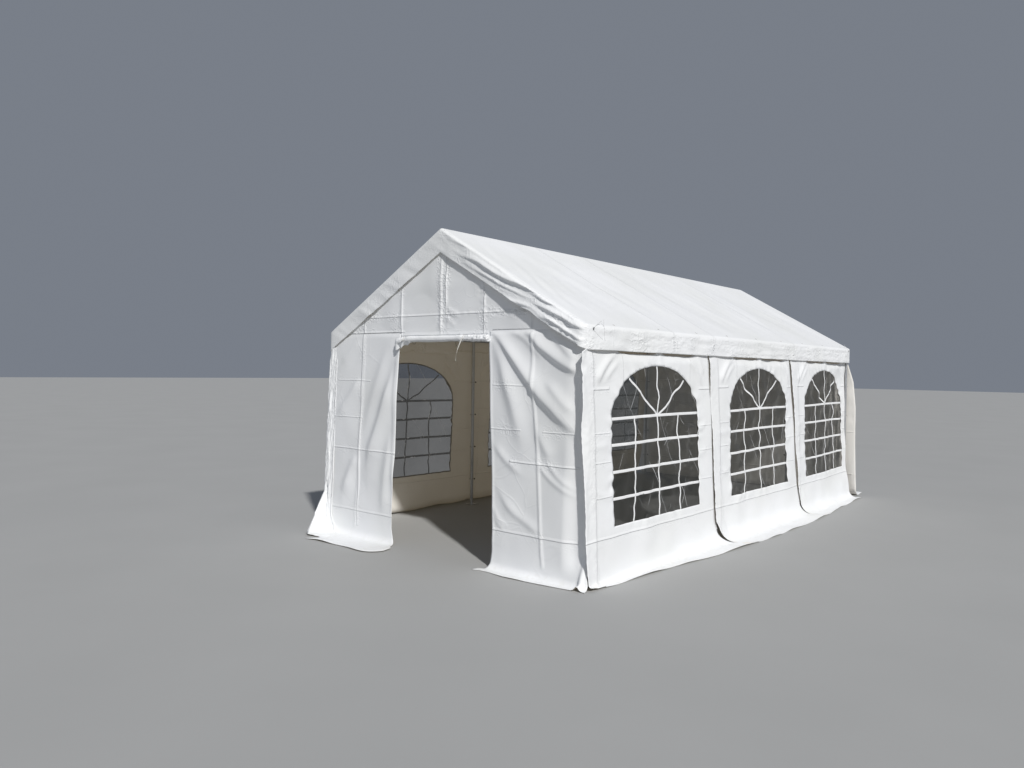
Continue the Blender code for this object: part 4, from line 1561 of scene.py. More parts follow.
    def strap_lines(self) -> list[Array]:
        """Lists the middle lines of the straps: level ones straight, the others wavy."""
        w, lap = self.window, 0.008
        random = np.random.default_rng(self.seed)
        lines = []
        for z in w.bars_z:
            y = linspace(-w.half_width - lap, w.half_width + lap, 44)
            lines.append(xyz(y, z + random.uniform(-0.004, 0.004) * y + 0.0025 * sin(4 * y + z)))
        for at in w.uprights:
            z = linspace(w.sill_z - lap, w.spring_z, 46)
            knots = np.arange(w.sill_z, w.spring_z + 0.05, 0.052)
            sway = interp(z, knots, random.normal(0, 0.0085, len(knots)))
            sway = np.convolve(np.pad(sway, 2, "edge"), np.ones(5) / 5, "valid") * 1.25
            lines.append(xyz(at + sway + (w.spring_z - z) * 0.06 * np.sign(at) * random.uniform(0.2, 1.0), z))
        for end_y, end_z in w.spokes:
            t, (steady, wavy) = linspace(0, 1.03, 30), (0.004, 0.001) if end_y < 0 else (0.020, 0.007)
            bow = steady * sin(pi * t) * random.uniform(-1, 1)
            bow = bow + wavy * sin(2 * pi * t * random.uniform(1.4, 2.2) + random.uniform(0, 6))
            bow = bow * sin(pi * clip(t, 0, 1)) ** 0.5
            way = np.array([end_y, end_z - w.spring_z])
            lines.append((0, w.spring_z) + way * t[:, None] + unit(way)[::-1] * (-1, 1) * bow[:, None])
        return lines

    def straps(self) -> None:
        """Makes the white straps on the film, each a flat strip swept along its line."""
        parts, tilt = MeshParts(), atan(self.lean)
        out = np.array([self.side * cos(tilt), 0, sin(tilt)])
        for number, (y, z) in enumerate(line.T for line in self.strap_lines()):
            level = number < len(self.window.bars_z)
            path = self.place(y, z, self.film_relief(y, z) + (0.0022 if level else 0.0016))
            section = flat_section(self.level_width if level else self.upright_width, self.strap_thickness)
            run = concatenate([[0], np.cumsum(np.linalg.norm(np.diff(path, axis=0), axis=1))])
            parts.add_tube(sweep(path, out, section), xyz(section[:, 0], run[:, None]))
        obj = parts.build(f"window_straps_{self.name}")
        # The window straps get a painted glow for light coming through them.
        dress(obj, WebbingFinish(f"strap_cloth_{self.name}", (0.84, 0.85, 0.86), 900.0, 0.5, 0.08).build())
        settle(obj, "wall_fabric")


@dataclass
class FrontGable:
    """The flat front wall between the two flaps, the doorway and the roof."""

    sizes: TentSizes
    half_width: float = 1.46
    door_top: float = 1.842
    door_left: float = -0.505
    door_right: float = 0.575
    lap: float = 0.022
    step: float = 0.0155
    gap_under_roof: float = 0.012

    def layers(self) -> Layers:
        """Lists the waves over the gable and the crinkles beside its middle seam."""
        thin = (0.014, 0.014)
        return [
            Ripples(0.0022, 0.25, 0.8, 201),
            Fold(((0.055, 2.48), (0.055, 2.25), (0.065, 2.09)), 0.007, (0.016, 0.016), (0.012, 0.012)),
            Fold(((0.0, 2.50), (0.0, 2.2), (0.0, 1.92)), 0.006, thin, thin, (0.6, 0.6)),
            Fold(((0.06, 2.12), (0.14, 2.075), (0.24, 2.05)), 0.006, (0.014, 0.02), (0.012, 0.02)),
            Fold(((0.05, 2.06), (0.12, 1.99), (0.20, 1.95)), 0.005, (0.014, 0.02), (0.012, 0.02)),
            Fold(((-0.50, 2.27), (-0.503, 2.1), (-0.505, 1.92)), 0.005, thin, thin, (0.5, 0.5)),
            Fold(((0.50, 2.22), (0.51, 2.08), (0.53, 1.94)), 0.005, thin, thin, (0.5, 0.5)),
            Fold(((-1.02, 1.97), (-1.02, 1.93), (-1.02, 1.90)), 0.005, thin, thin, (1, 1)),
            Fold(((-1.30, 1.90), (-1.15, 1.97), (-1.05, 2.03)), 0.006, (0.02, 0.02), (0.02, 0.02)),
        ]

    def build(self) -> None:
        """Makes the gable cloth as two grids that share the seam's row.

        Formula: the upper grid runs from the seam to the rake, the lower one fills the
        tongue over the doorway; both are cut to the same columns.
        """
        k, half, seam = self.sizes, self.half_width, self.sizes.seam_z
        stops = (-half, self.door_left, 0.0, self.door_right)
        x = concatenate([linspace(a, b, round((b - a) / self.step), endpoint=False) for a, b in zip(stops, stops[1:])]
                        + [linspace(self.door_right, half, round((half - self.door_right) / self.step) + 1)])
        rake = k.roof_z(x) - self.gap_under_roof
        lower = linspace(self.door_top, seam, 7)[:-1]
        z = concatenate([lower[:, None] + 0 * x, blend(seam, rake, linspace(0, 1, 50)[:, None])])
        x = x + 0 * z
        near = Crumple(0.006, 0.06, 203).at(x, z) * hump(x - 0.05, 0.11) * smooth(2.2, 1.95, z)
        near += Crumple(0.0045, 0.06, 204).at(x, z) * hump(x - 0.50, 0.05)
        near += Crumple(0.0035, 0.05, 205).at(x, z) * hump(z - 2.055, 0.03)
        near += Crumple(0.006, 0.08, 206).at(x, z) * smooth(0.10, 0.0, rake - z)
        lift = relief(self.layers(), x, z) + near
        lift *= smooth(-0.002, 0.05, z - seam) + smooth(half, half - 0.1, np.abs(x)) * 0.3
        points = xyz(x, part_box("front_gable")[0].y - 0.0004 - clip(lift, -0.002, 0.014), z)
        middle = (x[:-1, :-1] + x[:-1, 1:]) / 2
        keep = (middle > self.door_left - self.lap) & (middle < self.door_right + self.lap)
        keep[len(lower):] = True
        finish = ClothFinish("gable_cloth", (
            weld(UPRIGHT, -0.50, 1.8, 2.6, 0.022), weld(UPRIGHT, 0.0, 1.8, 2.8, 0.030),
            weld(UPRIGHT, 0.065, 2.05, 2.8, 0.014), weld(UPRIGHT, 0.505, 1.8, 2.6, 0.022),
            weld(UPRIGHT, -1.02, 1.8, 2.3, 0.022), weld(UPRIGHT, 1.01, 1.8, 2.3, 0.022),
            weld(LEVEL, 2.055, -1.3, 1.3, 0.020), weld(LEVEL, 1.915, -1.5, -0.45, 0.020),
            weld(LEVEL, 1.885, -0.56, 0.56, 0.030),
        ), puckered=0.0030)
        area = 2 * half * (k.roof_z(half) - seam) + half * (k.ridge_z - k.roof_z(half))
        hang_sheet("gable_cloth", points, xyz(x, z), (0, -1, 0), finish, "wall_fabric", ["front_gable"], keep,
                   flat=(2 * half, k.ridge_z - self.door_top), held="stretched",
                   rests_on=["rafter_left_front", "rafter_right_front"],
                   area=area + (self.door_right - self.door_left) * (seam - self.door_top))


@dataclass
class FrontFlap:
    """A front wall beside the doorway, hanging from the seam and spreading on the ground."""

    sizes: TentSizes
    side: int
    door_heights: Values
    door_places: Values
    corner_heights: Values
    corner_places: Values
    hem_places: Values
    hem_outs: Values
    bend_radius: float
    corner_round: float
    folds: tuple[Fold, ...]
    marks: tuple[Mark, ...]
    lean: float = 0.03
    tuck_up: float = 0.014
    corner_kick: float = 0.034
    step: float = 0.0125

    def __post_init__(self) -> None:
        """Works out the flap's name, its section and its random seed."""
        self.name, self.seed = ("left", 300) if self.side < 0 else ("right", 350)
        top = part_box(f"front_wall_{self.name}")[1].z
        self.profile = HemProfile(self.sizes.gable_plane, top, self.lean, self.bend_radius)

    def lift_at(self, x: Array, z: Array) -> Array:
        """Gives how far the cloth stands out of its plane, fading at the top seam.

        Args:
            x: Distance across the tent.
            z: Height, below zero on the skirt.

        Returns:
            Heights in metres.
        """
        under = self.profile.top_z - z
        lift = relief(self.folds, x, z) + Ripples(0.0024, 0.35, 1.0, self.seed).at(x, z)
        faceted = (0.35 + 0.65 * smooth(1.3, 0.6, z)) * (0.2 + 0.8 * smooth(-0.05, 0.12, z))
        lift += Facets(0.0022, 0.16, 0.50, self.seed + 2).at(x, z) * faceted
        lift += Ripples(0.0018, 0.30, 0.8, self.seed + 3).at(x, z) * smooth(0.07, -0.03, z)
        if self.side > 0:
            lift *= blend(1.0, 0.3, smooth(1.40, 1.50, x))
            lift -= 0.85 * self.lean * under * smooth(1.36, 1.49, x) * smooth(0.04, 0.24, z)
            lift += self.corner_kick * smooth(0.26, 0.02, z) * hump(x - 1.560, 0.022)
        return (0.004 + lift) * smooth(0.0, 0.04, under) + 0.0006 - 0.0025 * smooth(0.004, -0.004, under)

    def build(self) -> None:
        """Makes the flap.

        Formula: columns run between the door's edge and the corner's edge, whose places
        across depend on the height; rows run down the hem's section, and the skirt's
        corner by the door is rounded.
        """
        p = self.profile
        down, shares = rows_to_ground(p, (-self.tuck_up, 0.0), self.step, 12)
        width = abs(self.corner_places[2] - self.door_places[2])
        across = linspace(0, 1, round(width / self.step) + 1)
        hem_x = blend(self.door_places[0], self.corner_places[0], across)
        reach = interp(hem_x, self.hem_places, self.hem_outs) - (1 - self.lean) * p.bend_radius
        reach = reach + Ripples(0.003, 0.3, 0.8, self.seed + 5).at(across, 0 * across)
        inner = clip(1 - np.abs(hem_x - hem_x[0]) / self.corner_round, 0, 1)
        rounded = np.maximum(reach - self.corner_round * (1 - np.sqrt(1 - 0.97 * inner**2)), 0.012)
        s = concatenate([down[:, None] + 0 * across, p.straight + p.bend + shares[:, None] * rounded])
        out, z, n_out, n_z = p.at(s)
        on_ground = concatenate([0 * down, shares])[:, None]
        height = np.where(on_ground > 0, -on_ground * 0.3, z)
        flat_z = np.where(on_ground > 0, -on_ground * rounded, z)
        x = blend(interp(height, self.door_heights, self.door_places),
                  interp(height, self.corner_heights, self.corner_places), across)
        curl = 0.006 * hump(across, 0.016, 2.0) * smooth(0.05, 0.3, z) * smooth(0.0, 0.12, p.top_z - z)
        lift = self.lift_at(x, flat_z) + curl
        hang_sheet(f"flap_cloth_{self.name}", xyz(x, -(out + lift * n_out), np.maximum(z + lift * n_z, LOWEST)),
                   xyz(x, flat_z), (0, -1, 0.2), ClothFinish(f"flap_cloth_{self.name}", self.marks), "wall_fabric",
                   [f"front_wall_{self.name}"], flat=(width, p.straight + p.bend + float(reach.mean())), held="hung",
                   rests_on=["gable_cloth"])


def left_flap(sizes: TentSizes) -> FrontFlap:
    """Returns the flap on the left of the doorway, with its broad slanting folds."""
    folds = (
        Fold(((-0.565, 1.64), (-0.62, 1.46), (-0.675, 1.30), (-0.735, 1.14), (-0.80, 0.98), (-0.87, 0.80),
              (-0.90, 0.60)), 0.034, (0.10, 0.13), (0.045, 0.060), (0.15, 0.1), (0.35, 0.75)),
        Fold(((-1.03, 1.50), (-1.12, 1.41), (-1.22, 1.30), (-1.32, 1.19), (-1.40, 1.10)),
             0.015, (0.07, 0.08), (0.035, 0.045), (0.0, 0.3)),
        Fold(((-1.04, 1.85), (-1.15, 1.79), (-1.27, 1.69), (-1.36, 1.60)),
             0.008, (0.06, 0.06), (0.03, 0.04), (0.1, 0.4)),
        Fold(((-1.04, 0.78), (-1.13, 0.66), (-1.20, 0.52), (-1.27, 0.36)),
             0.019, (0.08, 0.08), (0.05, 0.05), (0.2, 0.2)),
        Fold(((-0.66, 1.80), (-0.78, 1.52), (-0.90, 1.20), (-0.99, 0.86)),
             0.014, (0.09, 0.11), (0.05, 0.07), (0.2, 0.2)),
        Fold(((-0.58, 1.05), (-0.63, 0.75), (-0.66, 0.45), (-0.66, 0.20)),
             0.016, (0.06, 0.08), (0.05, 0.06), (0.2, 0.2)),
        Fold(((-0.535, 1.72), (-0.545, 1.40), (-0.548, 1.0), (-0.55, 0.5)),
             0.010, (0.030, 0.03), (0.020, 0.02), (0.5, 0.3), (0.1, 0.9)),
        Fold(((-1.02, 1.92), (-1.015, 1.5), (-1.03, 1.1), (-1.04, 0.6), (-1.07, 0.1)),
             0.006, (0.013, 0.013), (0.013, 0.013), (0.8, 0.8), (0.05, 0.95)),
    )
    marks = (
        weld(UPRIGHT, -1.035, 0.10, 1.95, 0.024), weld(LEVEL, 0.82, -1.45, -0.5, 0.018),
        weld(LEVEL, 0.245, -1.45, -0.5, 0.024), crease(LEVEL, 1.47, -1.4, -0.9), crease(LEVEL, 1.12, -1.45, -1.0),
    )
    return FrontFlap(
        sizes, -1,
        (-0.3, -0.12, 0.0, 0.05, 0.14, 0.33, 0.60, 0.86, 1.32, 1.66, 1.95),
        (-0.375, -0.40, -0.475, -0.52, -0.541, -0.54, -0.53, -0.52, -0.512, -0.505, -0.505),
        (-0.3, -0.22, -0.12, 0.0, 0.05, 0.2, 0.8, 2.0), (-1.292, -1.215, -1.245, -1.345, -1.41, -1.455, -1.46, -1.46),
        (-1.266, -1.158, -0.834, -0.588, -0.375), (0.400, 0.376, 0.360, 0.366, 0.355),
        0.065, 0.15, folds, marks,
    )


def right_flap(sizes: TentSizes) -> FrontFlap:
    """Returns the flap on the right of the doorway, drawn from the door's upper corner."""
    folds = (
        Fold(((0.60, 1.90), (0.70, 1.825), (0.82, 1.70), (0.94, 1.572), (1.04, 1.472), (1.12, 1.39), (1.23, 1.31),
              (1.34, 1.22), (1.47, 1.14)), 0.031, (0.045, 0.13), (0.022, 0.045), (0.25, 0.55), (0.30, 0.8)),
        Fold(((0.90, 1.93), (1.03, 1.845), (1.10, 1.775), (1.23, 1.692), (1.33, 1.64), (1.47, 1.585)),
             0.026, (0.05, 0.09), (0.022, 0.030), (0.2, 0.8), (0.3, 0.9)),
        Fold(((1.20, 1.87), (1.31, 1.775), (1.42, 1.69)), 0.010, (0.03, 0.04), (0.018, 0.025), (0.3, 0.6)),
        Fold(((0.76, 1.92), (0.93, 1.845), (1.03, 1.765), (1.15, 1.66)),
             0.009, (0.035, 0.05), (0.022, 0.03), (0.3, 0.1)),
        Fold(((0.615, 1.82), (0.705, 1.66), (0.765, 1.50), (0.85, 1.33), (0.90, 1.18), (0.945, 1.03), (0.99, 0.90)),
             0.024, (0.06, 0.11), (0.040, 0.085), (0.2, 0.0), (0.35, 0.6)),
        Fold(((1.14, 1.53), (1.26, 1.43), (1.36, 1.34), (1.46, 1.27)), 0.010, (0.05, 0.05), (0.03, 0.035), (0.1, 0.4)),
        Fold(((1.08, 0.92), (1.19, 0.80), (1.31, 0.725), (1.48, 0.65)),
             0.008, (0.022, 0.03), (0.014, 0.018), (0.2, 0.4), power=1.4),
        Fold(((1.16, 0.93), (1.31, 0.79), (1.48, 0.70)), 0.007, (0.022, 0.03), (0.014, 0.018), (0.2, 0.4), power=1.4),
        Fold(((0.71, 0.66), (0.86, 0.50), (1.05, 0.40), (1.16, 0.36)), 0.010, (0.05, 0.04), (0.030, 0.03), (0.3, 0.1)),
        Fold(((0.66, 1.00), (0.80, 0.87), (0.98, 0.77)), 0.009, (0.04, 0.04), (0.026, 0.03), (0.3, 0.1)),
        Fold(((1.085, 1.18), (1.16, 1.02), (1.25, 0.90)), 0.012, (0.06, 0.06), (0.035, 0.04), (0.3, 0.1)),
        Fold(((0.68, 0.50), (0.74, 0.41), (0.84, 0.355)), 0.007, (0.02, 0.02), (0.014, 0.02), (0.4, 0.1), power=1.4),
        Fold(((0.69, 0.42), (0.75, 0.36), (0.82, 0.33)), 0.006, (0.018, 0.02), (0.012, 0.02), (0.4, 0.1), power=1.4),
        Fold(((1.02, 1.92), (1.03, 1.68), (1.05, 1.40), (1.085, 1.15), (1.125, 0.75), (1.165, 0.33), (1.19, 0.1)),
             0.009, (0.012, 0.012), (0.010, 0.010), (0.7, 0.8), (0.05, 0.95), 2.0),
    )
    marks = (
        weld(LEVEL, 0.87, 0.83, 1.5, 0.018), weld(LEVEL, 0.315, 0.6, 1.5, 0.024),
        crease(LEVEL, 1.47, 0.62, 1.0), crease(LEVEL, 1.12, 0.62, 0.95), crease(LEVEL, 1.12, 1.15, 1.45),
    )
    return FrontFlap(
        sizes, 1,
        (-0.3, -0.1, 0.0, 0.04, 0.14, 0.30, 0.56, 0.94, 1.45, 1.76, 1.95),
        (0.585, 0.60, 0.645, 0.66, 0.675, 0.68, 0.665, 0.64, 0.60, 0.578, 0.575),
        (-0.3, 0.0, 0.08, 0.3, 1.0, 1.72, 2.0), (1.638, 1.622, 1.604, 1.578, 1.550, 1.520, 1.508),
        (0.585, 0.65, 0.730, 0.915, 1.105, 1.307, 1.426, 1.542, 1.60, 1.64),
        (0.150, 0.122, 0.112, 0.135, 0.127, 0.102, 0.085, 0.075, 0.062, 0.050),
        0.055, 0.02, folds, marks,
    )


@dataclass
class CornerMargin:
    """The front margin of the left long wall, which laps round the corner post to the front."""

    sizes: TentSizes
    lean_side: float = 0.04
    lean_corner: float = 0.020
    lean_front: float = 0.03
    bend_radius: float = 0.065
    spread_from: float = 0.37
    front_reach: float = -1.418
    side_reach: float = -2.90
    tip_x: float = -1.505
    tip_out: float = 0.335
    foot_x: float = -1.20
    front_out: float = 0.275
    lowest: float = 0.0022

    def crumples(self, t: Array, z: Array) -> Array:
        """Gives the height of the crumples and the long fold, by the share across and the height."""
        fold = Fold(((0.18, 1.55), (0.15, 1.1), (0.17, 0.7), (0.14, 0.3)),
                    0.008, (0.012, 0.012), (0.01, 0.01), (0.2, 0.2))
        crumple = Crumple(0.0065, 0.055, 401).at(t * 0.25, z * 0.13) * smooth(0.05, 0.25, z)
        crumple = crumple + Crumple(0.0030, 0.040, 402).at(t * 0.25, z * 0.5) + fold.at(t * 0.25, z)
        return np.maximum(crumple, -0.004)

    def build(self) -> None:
        """Makes the margin.

        Formula: each level section runs from the side wall round a rounded corner to the
        front flap. Its front part follows the flap's bend and skirt, and draws together
        towards the skirt's outer tip.
        """
        k, plane, low = self.sizes, self.sizes.gable_plane, self.lowest
        p = HemProfile(plane, k.eave_tube_z, self.lean_front, self.bend_radius)
        down, shares = rows_to_ground(p, (0.13,), 0.0145, 10)
        t = linspace(0, 1, 45)[None]
        reach = blend(self.tip_out, self.front_out, smooth(0.3, 1.0, t)) - (1 - self.lean_front) * p.bend_radius
        s = concatenate([down[:, None] + 0 * t, p.straight + p.bend + shares[:, None] * reach])
        out, z_front, n_out, n_z = p.at(s)
        z = np.maximum(k.eave_tube_z - s, low)
        tuck = 0.012 * smooth(1.62, 1.745, z)
        lean_side = blend(self.lean_side, self.lean_corner, smooth(0, 0.36, t))
        wall_x = -(k.posts_x + k.tube_radius + 0.012 - tuck + lean_side * (k.eave_tube_z - z))
        turn = 1 / (1 + np.exp(-(t - 0.36) * 26))
        front = clip((t - 0.36) / 0.64, 0, 1) ** 1.05
        past = self.spread_from - p.top_z
        spread = clip((s + past) / (s[-1:] + past), 0, 1)
        drawn_out = smooth(0.64, 0.53, t)
        held_out = drawn_out * (spread > 0)
        out = blend(out, blend(plane - self.lean_front * past, plane + self.tip_out, spread), held_out)
        z_front = blend(z_front, blend(self.spread_from, low, spread), held_out)
        foot = blend(smooth(0.30, 0.95, spread), spread, drawn_out)
        front_x = blend(blend(wall_x - 0.003, self.front_reach, front), blend(self.tip_x, self.foot_x, front), foot)
        crumple = self.crumples(t, z)
        x = blend(wall_x, front_x, turn) - 0.5 * crumple * smooth(0.55, 0.3, t)
        slit = -0.055 * hump(t - 0.615, 0.030) * smooth(0.50, 0.40, z_front) * smooth(0.02, 0.16, z_front)
        proud = 0.006 + 0.012 * (1 - smooth(0.55, 1.0, t)) - tuck / 2
        lift = proud + crumple * smooth(0.30, 0.5, t) * smooth(1.01, 0.9, t) + slit
        y = blend(blend(self.side_reach, -plane, clip(t / 0.40, 0, 1)), -(out + lift * n_out), turn)
        height = blend(z, np.maximum(z_front + lift * n_z, low), turn)
        hang_sheet("corner_margin_left", xyz(x, y, height), xyz(t * 0.25 - 2.0, k.eave_tube_z - s), (-0.3, -1, 0.1),
                   ClothFinish("corner_margin_cloth", (weld(UPRIGHT, -1.765, 0.0, 1.9, 0.012),)), "wall_fabric",
                   flat=(0.26, 2.10), held="hung", rests_on=["wall_cloth_left_front"])


@dataclass
class BackWall:
    """The closed back wall, in one sheet from the rake to the ground."""

    sizes: TentSizes
    half_width: float = 1.515
    lean: float = 0.03
    bend_radius: float = 0.09
    skirt: float = 0.30
    margin: float = 0.10
    gap_under_roof: float = 0.012
    edge_heights: Values = (-0.3, 0.0, 0.66, 1.17, 1.50, 1.74, 2.0)
    edge_places: Values = (1.60, 1.640, 1.623, 1.620, 1.590, 1.515, 1.515)
    step: float = 0.021

    def build(self) -> None:
        """Makes the back wall.

        Formula: below the eave it follows the hem's section; above it, rows are shares of
        the height from the eave to the rake at each column.
        """
        k, half, seam = self.sizes, self.half_width, self.sizes.seam_z
        p = HemProfile(k.gable_plane, seam, self.lean, self.bend_radius)
        x = linspace(-half, half, round(2 * half / self.step) + 1)
        rake = k.roof_z(x) - self.gap_under_roof
        upper = blend(seam, rake, linspace(1, 0, 42)[:-1, None])
        down, shares = rows_to_ground(p, (0.0,), self.step, 10)
        reach = self.skirt + Ripples(0.012, 0.3, 1.0, 501).at(x, 0 * x)
        lower = p.at(concatenate([down[:, None] + 0 * x, p.straight + p.bend + shares[:, None] * reach]))
        flat_upper = (k.gable_plane + 0 * upper, upper, 1 + 0 * upper, 0 * upper)
        out, z, n_out, n_z = (concatenate(pair) for pair in zip(flat_upper, lower))
        on_ground = concatenate([np.zeros(len(upper) + len(down)), shares])[:, None]
        flat_z = np.where(on_ground > 0, -on_ground * reach, z)
        edge = interp(flat_z, self.edge_heights, self.edge_places)
        outer = clip((np.abs(x) - half + self.margin) / self.margin, 0, 1)
        widened = np.sign(x) * blend(np.abs(x) + 0 * z, edge - self.margin * (1 - outer), outer > 0)
        x = blend(x + 0 * z, widened, smooth(0.0, 0.4, outer))
        lift = relief(self.layers(), x, flat_z)
        lift += Ripples(0.0035, 0.18, 0.6, 502).at(x, flat_z) * smooth(0.07, -0.03, flat_z)
        near_rake = smooth(0.0, 0.25, rake - z)
        lift = np.maximum(0.003 + lift * near_rake, 0.0) * np.where(z > k.hem_z, 0.4 + 0.6 * near_rake, 1.0)
        lift = np.where(z > k.valance_z(x), np.minimum(lift, 0.004), lift)
        marks = [weld(UPRIGHT, at, 0.1, 2.8, 0.024) for at in (-1.03, -0.5, 0.0, 0.5, 1.03)]
        marks += [weld(LEVEL, at, -1.6, 1.6, 0.022) for at in (2.055, 0.84, 0.28)]
        marks += [crease(LEVEL, at, -1.5, 1.5) for at in (1.47, 1.15)]
        drop = p.straight + p.bend + self.skirt
        # The back wall's inner side gets a paler painted glow for light coming through the cloth.
        hang_sheet("back_wall_cloth", xyz(x, out + lift * n_out, np.maximum(z + lift * n_z, LOWEST)), xyz(x, flat_z),
                   (0, 1, 0.2), ClothFinish("back_wall_cloth", tuple(marks), painted_glow=(1.0, 0.93, 0.84)), "wall_fabric",
                   ["back_wall"], flat=(2 * half, drop + k.ridge_z - seam), held="hung",
                   rests_on=["rafter_left_back", "rafter_right_back"],
                   area=2 * half * (drop + k.roof_z(half) - seam) + half * (k.ridge_z - k.roof_z(half)))

    def layers(self) -> Layers:
        """Lists the soft folds that fan from the corners and the waves of the back wall."""
        layers = [Ripples(0.0045, 0.35, 1.1, 503), Ripples(0.0014, 0.08, 0.2, 504)]
        for side in (-1, 1):
            for turn, height in ((0.35, 0.014), (0.75, 0.011), (1.1, 0.009)):
                line = tuple((side * (1.45 - r * cos(turn + 0.25 * r)), 1.85 - r * sin(turn + 0.25 * r))
                             for r in (0.10, 0.45, 0.80, 1.15))
                layers.append(Fold(line, height, (0.03, 0.09), (0.03, 0.09), (0.1, 0.0), (0.3, 0.45)))
        return layers


@dataclass
class DoorRoll:
    """The door cloth rolled up over the doorway, its two tapes and the tie that hangs down."""

    spiral: float = 0.0026
    tapes: Values = (-0.415, 0.319)
    tie_x: float = 0.319
    tie_drop: float = 0.19
    tie_sway: float = 0.07
    tie_width: float = 0.009

    def __post_init__(self) -> None:
        """Reads the roll's and the tie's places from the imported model."""
        low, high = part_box("door_roll")
        self.left, self.right = low.x, high.x
        self.y, self.z = (low.y + high.y) / 2, (low.z + high.z) / 2
        self.radius = (high.z - low.z) / 2
        self.tie_y = sum(corner.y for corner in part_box("door_tie")) / 2

    def radius_at(self, x: Array, angle: Array) -> Array:
        """Gives the roll's radius.

        Formula: the plain radius, plus the spiral's step round the section, plus crumples
        that grow towards the ends, less the nips under the tapes.

        Args:
            x: Distance along the roll.
            angle: Angle round it.

        Returns:
            Radii in metres.
        """
        lip = np.mod((angle + 2.2) / (2 * pi), 1.0)
        nips = sum(hump(x - at, 0.022) for at in self.tapes)
        loose = smooth(0.24, 0.52, x) + 0.5 * smooth(-0.34, -0.50, x)
        crumple = Crumple(0.007, 0.055, 601).at(x, angle * self.radius) * (0.12 + loose)
        waves = Ripples(0.0016, 0.12, 0.4, 602).at(x, angle * self.radius)
        return self.radius + self.spiral * (lip - 1.0) + crumple + waves - 0.006 * nips

    def build(self) -> None:
        """Makes the roll with its spiral ends, then its tail, its tapes and its tie."""
        angle = linspace(0, 2 * pi, 48, endpoint=False)
        x, a = np.meshgrid(linspace(self.left, self.right, 130), angle, indexing="ij")
        radius = self.radius_at(x, a)
        droop = 0.020 * smooth(-0.34, -0.54, x) + 0.004 * smooth(0.4, 0.56, x)
        squash = 1 + 0.12 * smooth(-0.40, -0.54, x)
        body = xyz(x, self.y + radius * cos(a), self.z - droop + squash * radius * sin(a))
        inward = linspace(1, 0.06, 9)[1:, None]
        level = 0.004 * sin(2 * pi * (inward * 3.5 + angle / (2 * pi)))
        swollen = (level - 0.002 + 0.006 * (1 - inward))[..., None]
        first, last = (ring.mean(axis=0) + (ring - ring.mean(axis=0)) * inward[..., None] + swollen * (way, 0, 0)
                       for ring, way in ((body[0], -1), (body[-1], 1)))
        rings = concatenate([first[::-1], body, last])
        run = concatenate([[0], np.cumsum(np.abs(np.diff(rings[:, 0, 0])) + 0.0005)])
        parts = MeshParts()
        parts.add_tube(rings, xyz(run[:, None], angle * self.radius))
        obj = parts.build("door_cloth_roll")
        dress(obj, ClothFinish("door_roll_cloth", (weld(LEVEL, 0.10, 0.0, 2.0, 0.016),), crinkle=0.0016).build())
        settle(obj, "door_cloth", "door_roll")
        self.tail()
        self.make_tapes()
        self.tie()

    def tail(self) -> None:
        """Makes the loose folds of door cloth that droop from the roll's left end.

        Formula: a strip that hangs in three pleats, its lower edge wavy.
        """
        t, s = linspace(0, 1, 40), linspace(0, 1, 14)[:, None]
        x = blend(self.left - 0.012, self.left + 0.19, t) + 0.012 * s * sin(9 * t)
        pleat = sin(t * 15.0 + 1.2 * s) * 0.010 * (0.3 + s)
        y = self.y - self.radius * 0.55 - 0.006 + 0.018 * s - pleat
        drop = 0.052 * (1 - 0.75 * smooth(0.35, 1.0, t)) * (1 + 0.22 * sin(17 * t + 1))
        z = self.z - self.radius * 0.72 - 0.014 * smooth(0.5, 0.0, t) - drop * s
        hang_sheet("door_cloth_tail", xyz(x, y, z), xyz(x, z), (0, -1, 0),
                   ClothFinish("door_tail_cloth", crinkle=0.0016), "door_cloth",
                   flat=(0.21, 0.06), held="gathered", rests_on=["door_cloth_roll"], area=0.0085)

    def make_tapes(self) -> None:
        """Makes the flat tapes that hold the roll, each a loop with a knot under it."""
        parts = MeshParts()
        angle, turn = linspace(0, 2 * pi, 40, endpoint=False), linspace(0, 2 * pi, 14, endpoint=False)
        out = xyz(0, cos(angle), sin(angle))
        for at in self.tapes:
            radius = self.radius_at(np.full(40, at), angle) + 0.0022
            path = xyz(at + 0.002 * sin(angle), self.y, self.z) + radius[:, None] * out
            parts.add_tube(carried(path, np.array([1.0, 0, 0]), out, flat_section(0.013, 0.0012)), looped=True)
            for lean, size in ((-0.6, 0.007), (0.7, 0.006)):
                knot = np.array([at + 0.005 * lean, self.y - self.radius - 0.004, self.z - 0.004 + 0.004 * lean])
                ring = knot + size * xyz(cos(turn), -0.3 * cos(turn * 2), sin(turn))
                spoke = unit(ring - ring.mean(axis=0))
                parts.add_tube(carried(ring, spoke, np.array([0, -1.0, 0]), round_section(0.0026, 6)), looped=True)
        obj = parts.build("door_roll_tapes")
        dress(obj, WebbingFinish("tape_cloth", (0.84, 0.84, 0.83)).build())
        settle(obj, "tie_ribbon")

    def tie(self) -> None:
        """Makes the tie: a flat ribbon that hangs from the right tape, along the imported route."""
        fall = linspace(0, 1, 13)
        x, z = self.tie_x - self.tie_sway * sin(pi / 2 * fall), self.z - self.tie_drop * fall
        path = curve_through(xyz(x, self.tie_y, z), 40)
        length = float(np.linalg.norm(np.diff(path, axis=0), axis=1).sum())
        twist = 0.5 + 2.4 * linspace(0, 1, 40)
        section = flat_section(self.tie_width, 0.0011)
        parts = MeshParts()
        parts.add_tube(sweep(path, xyz(sin(twist), -cos(twist), 0), section),
                       xyz(section[:, 0], linspace(0, length, 40)[:, None]))
        obj = parts.build("door_tie_ribbon")
        dress(obj, WebbingFinish("tie_cloth", (0.86, 0.85, 0.80)).build())
        settle(obj, "tie_ribbon", "door_tie")


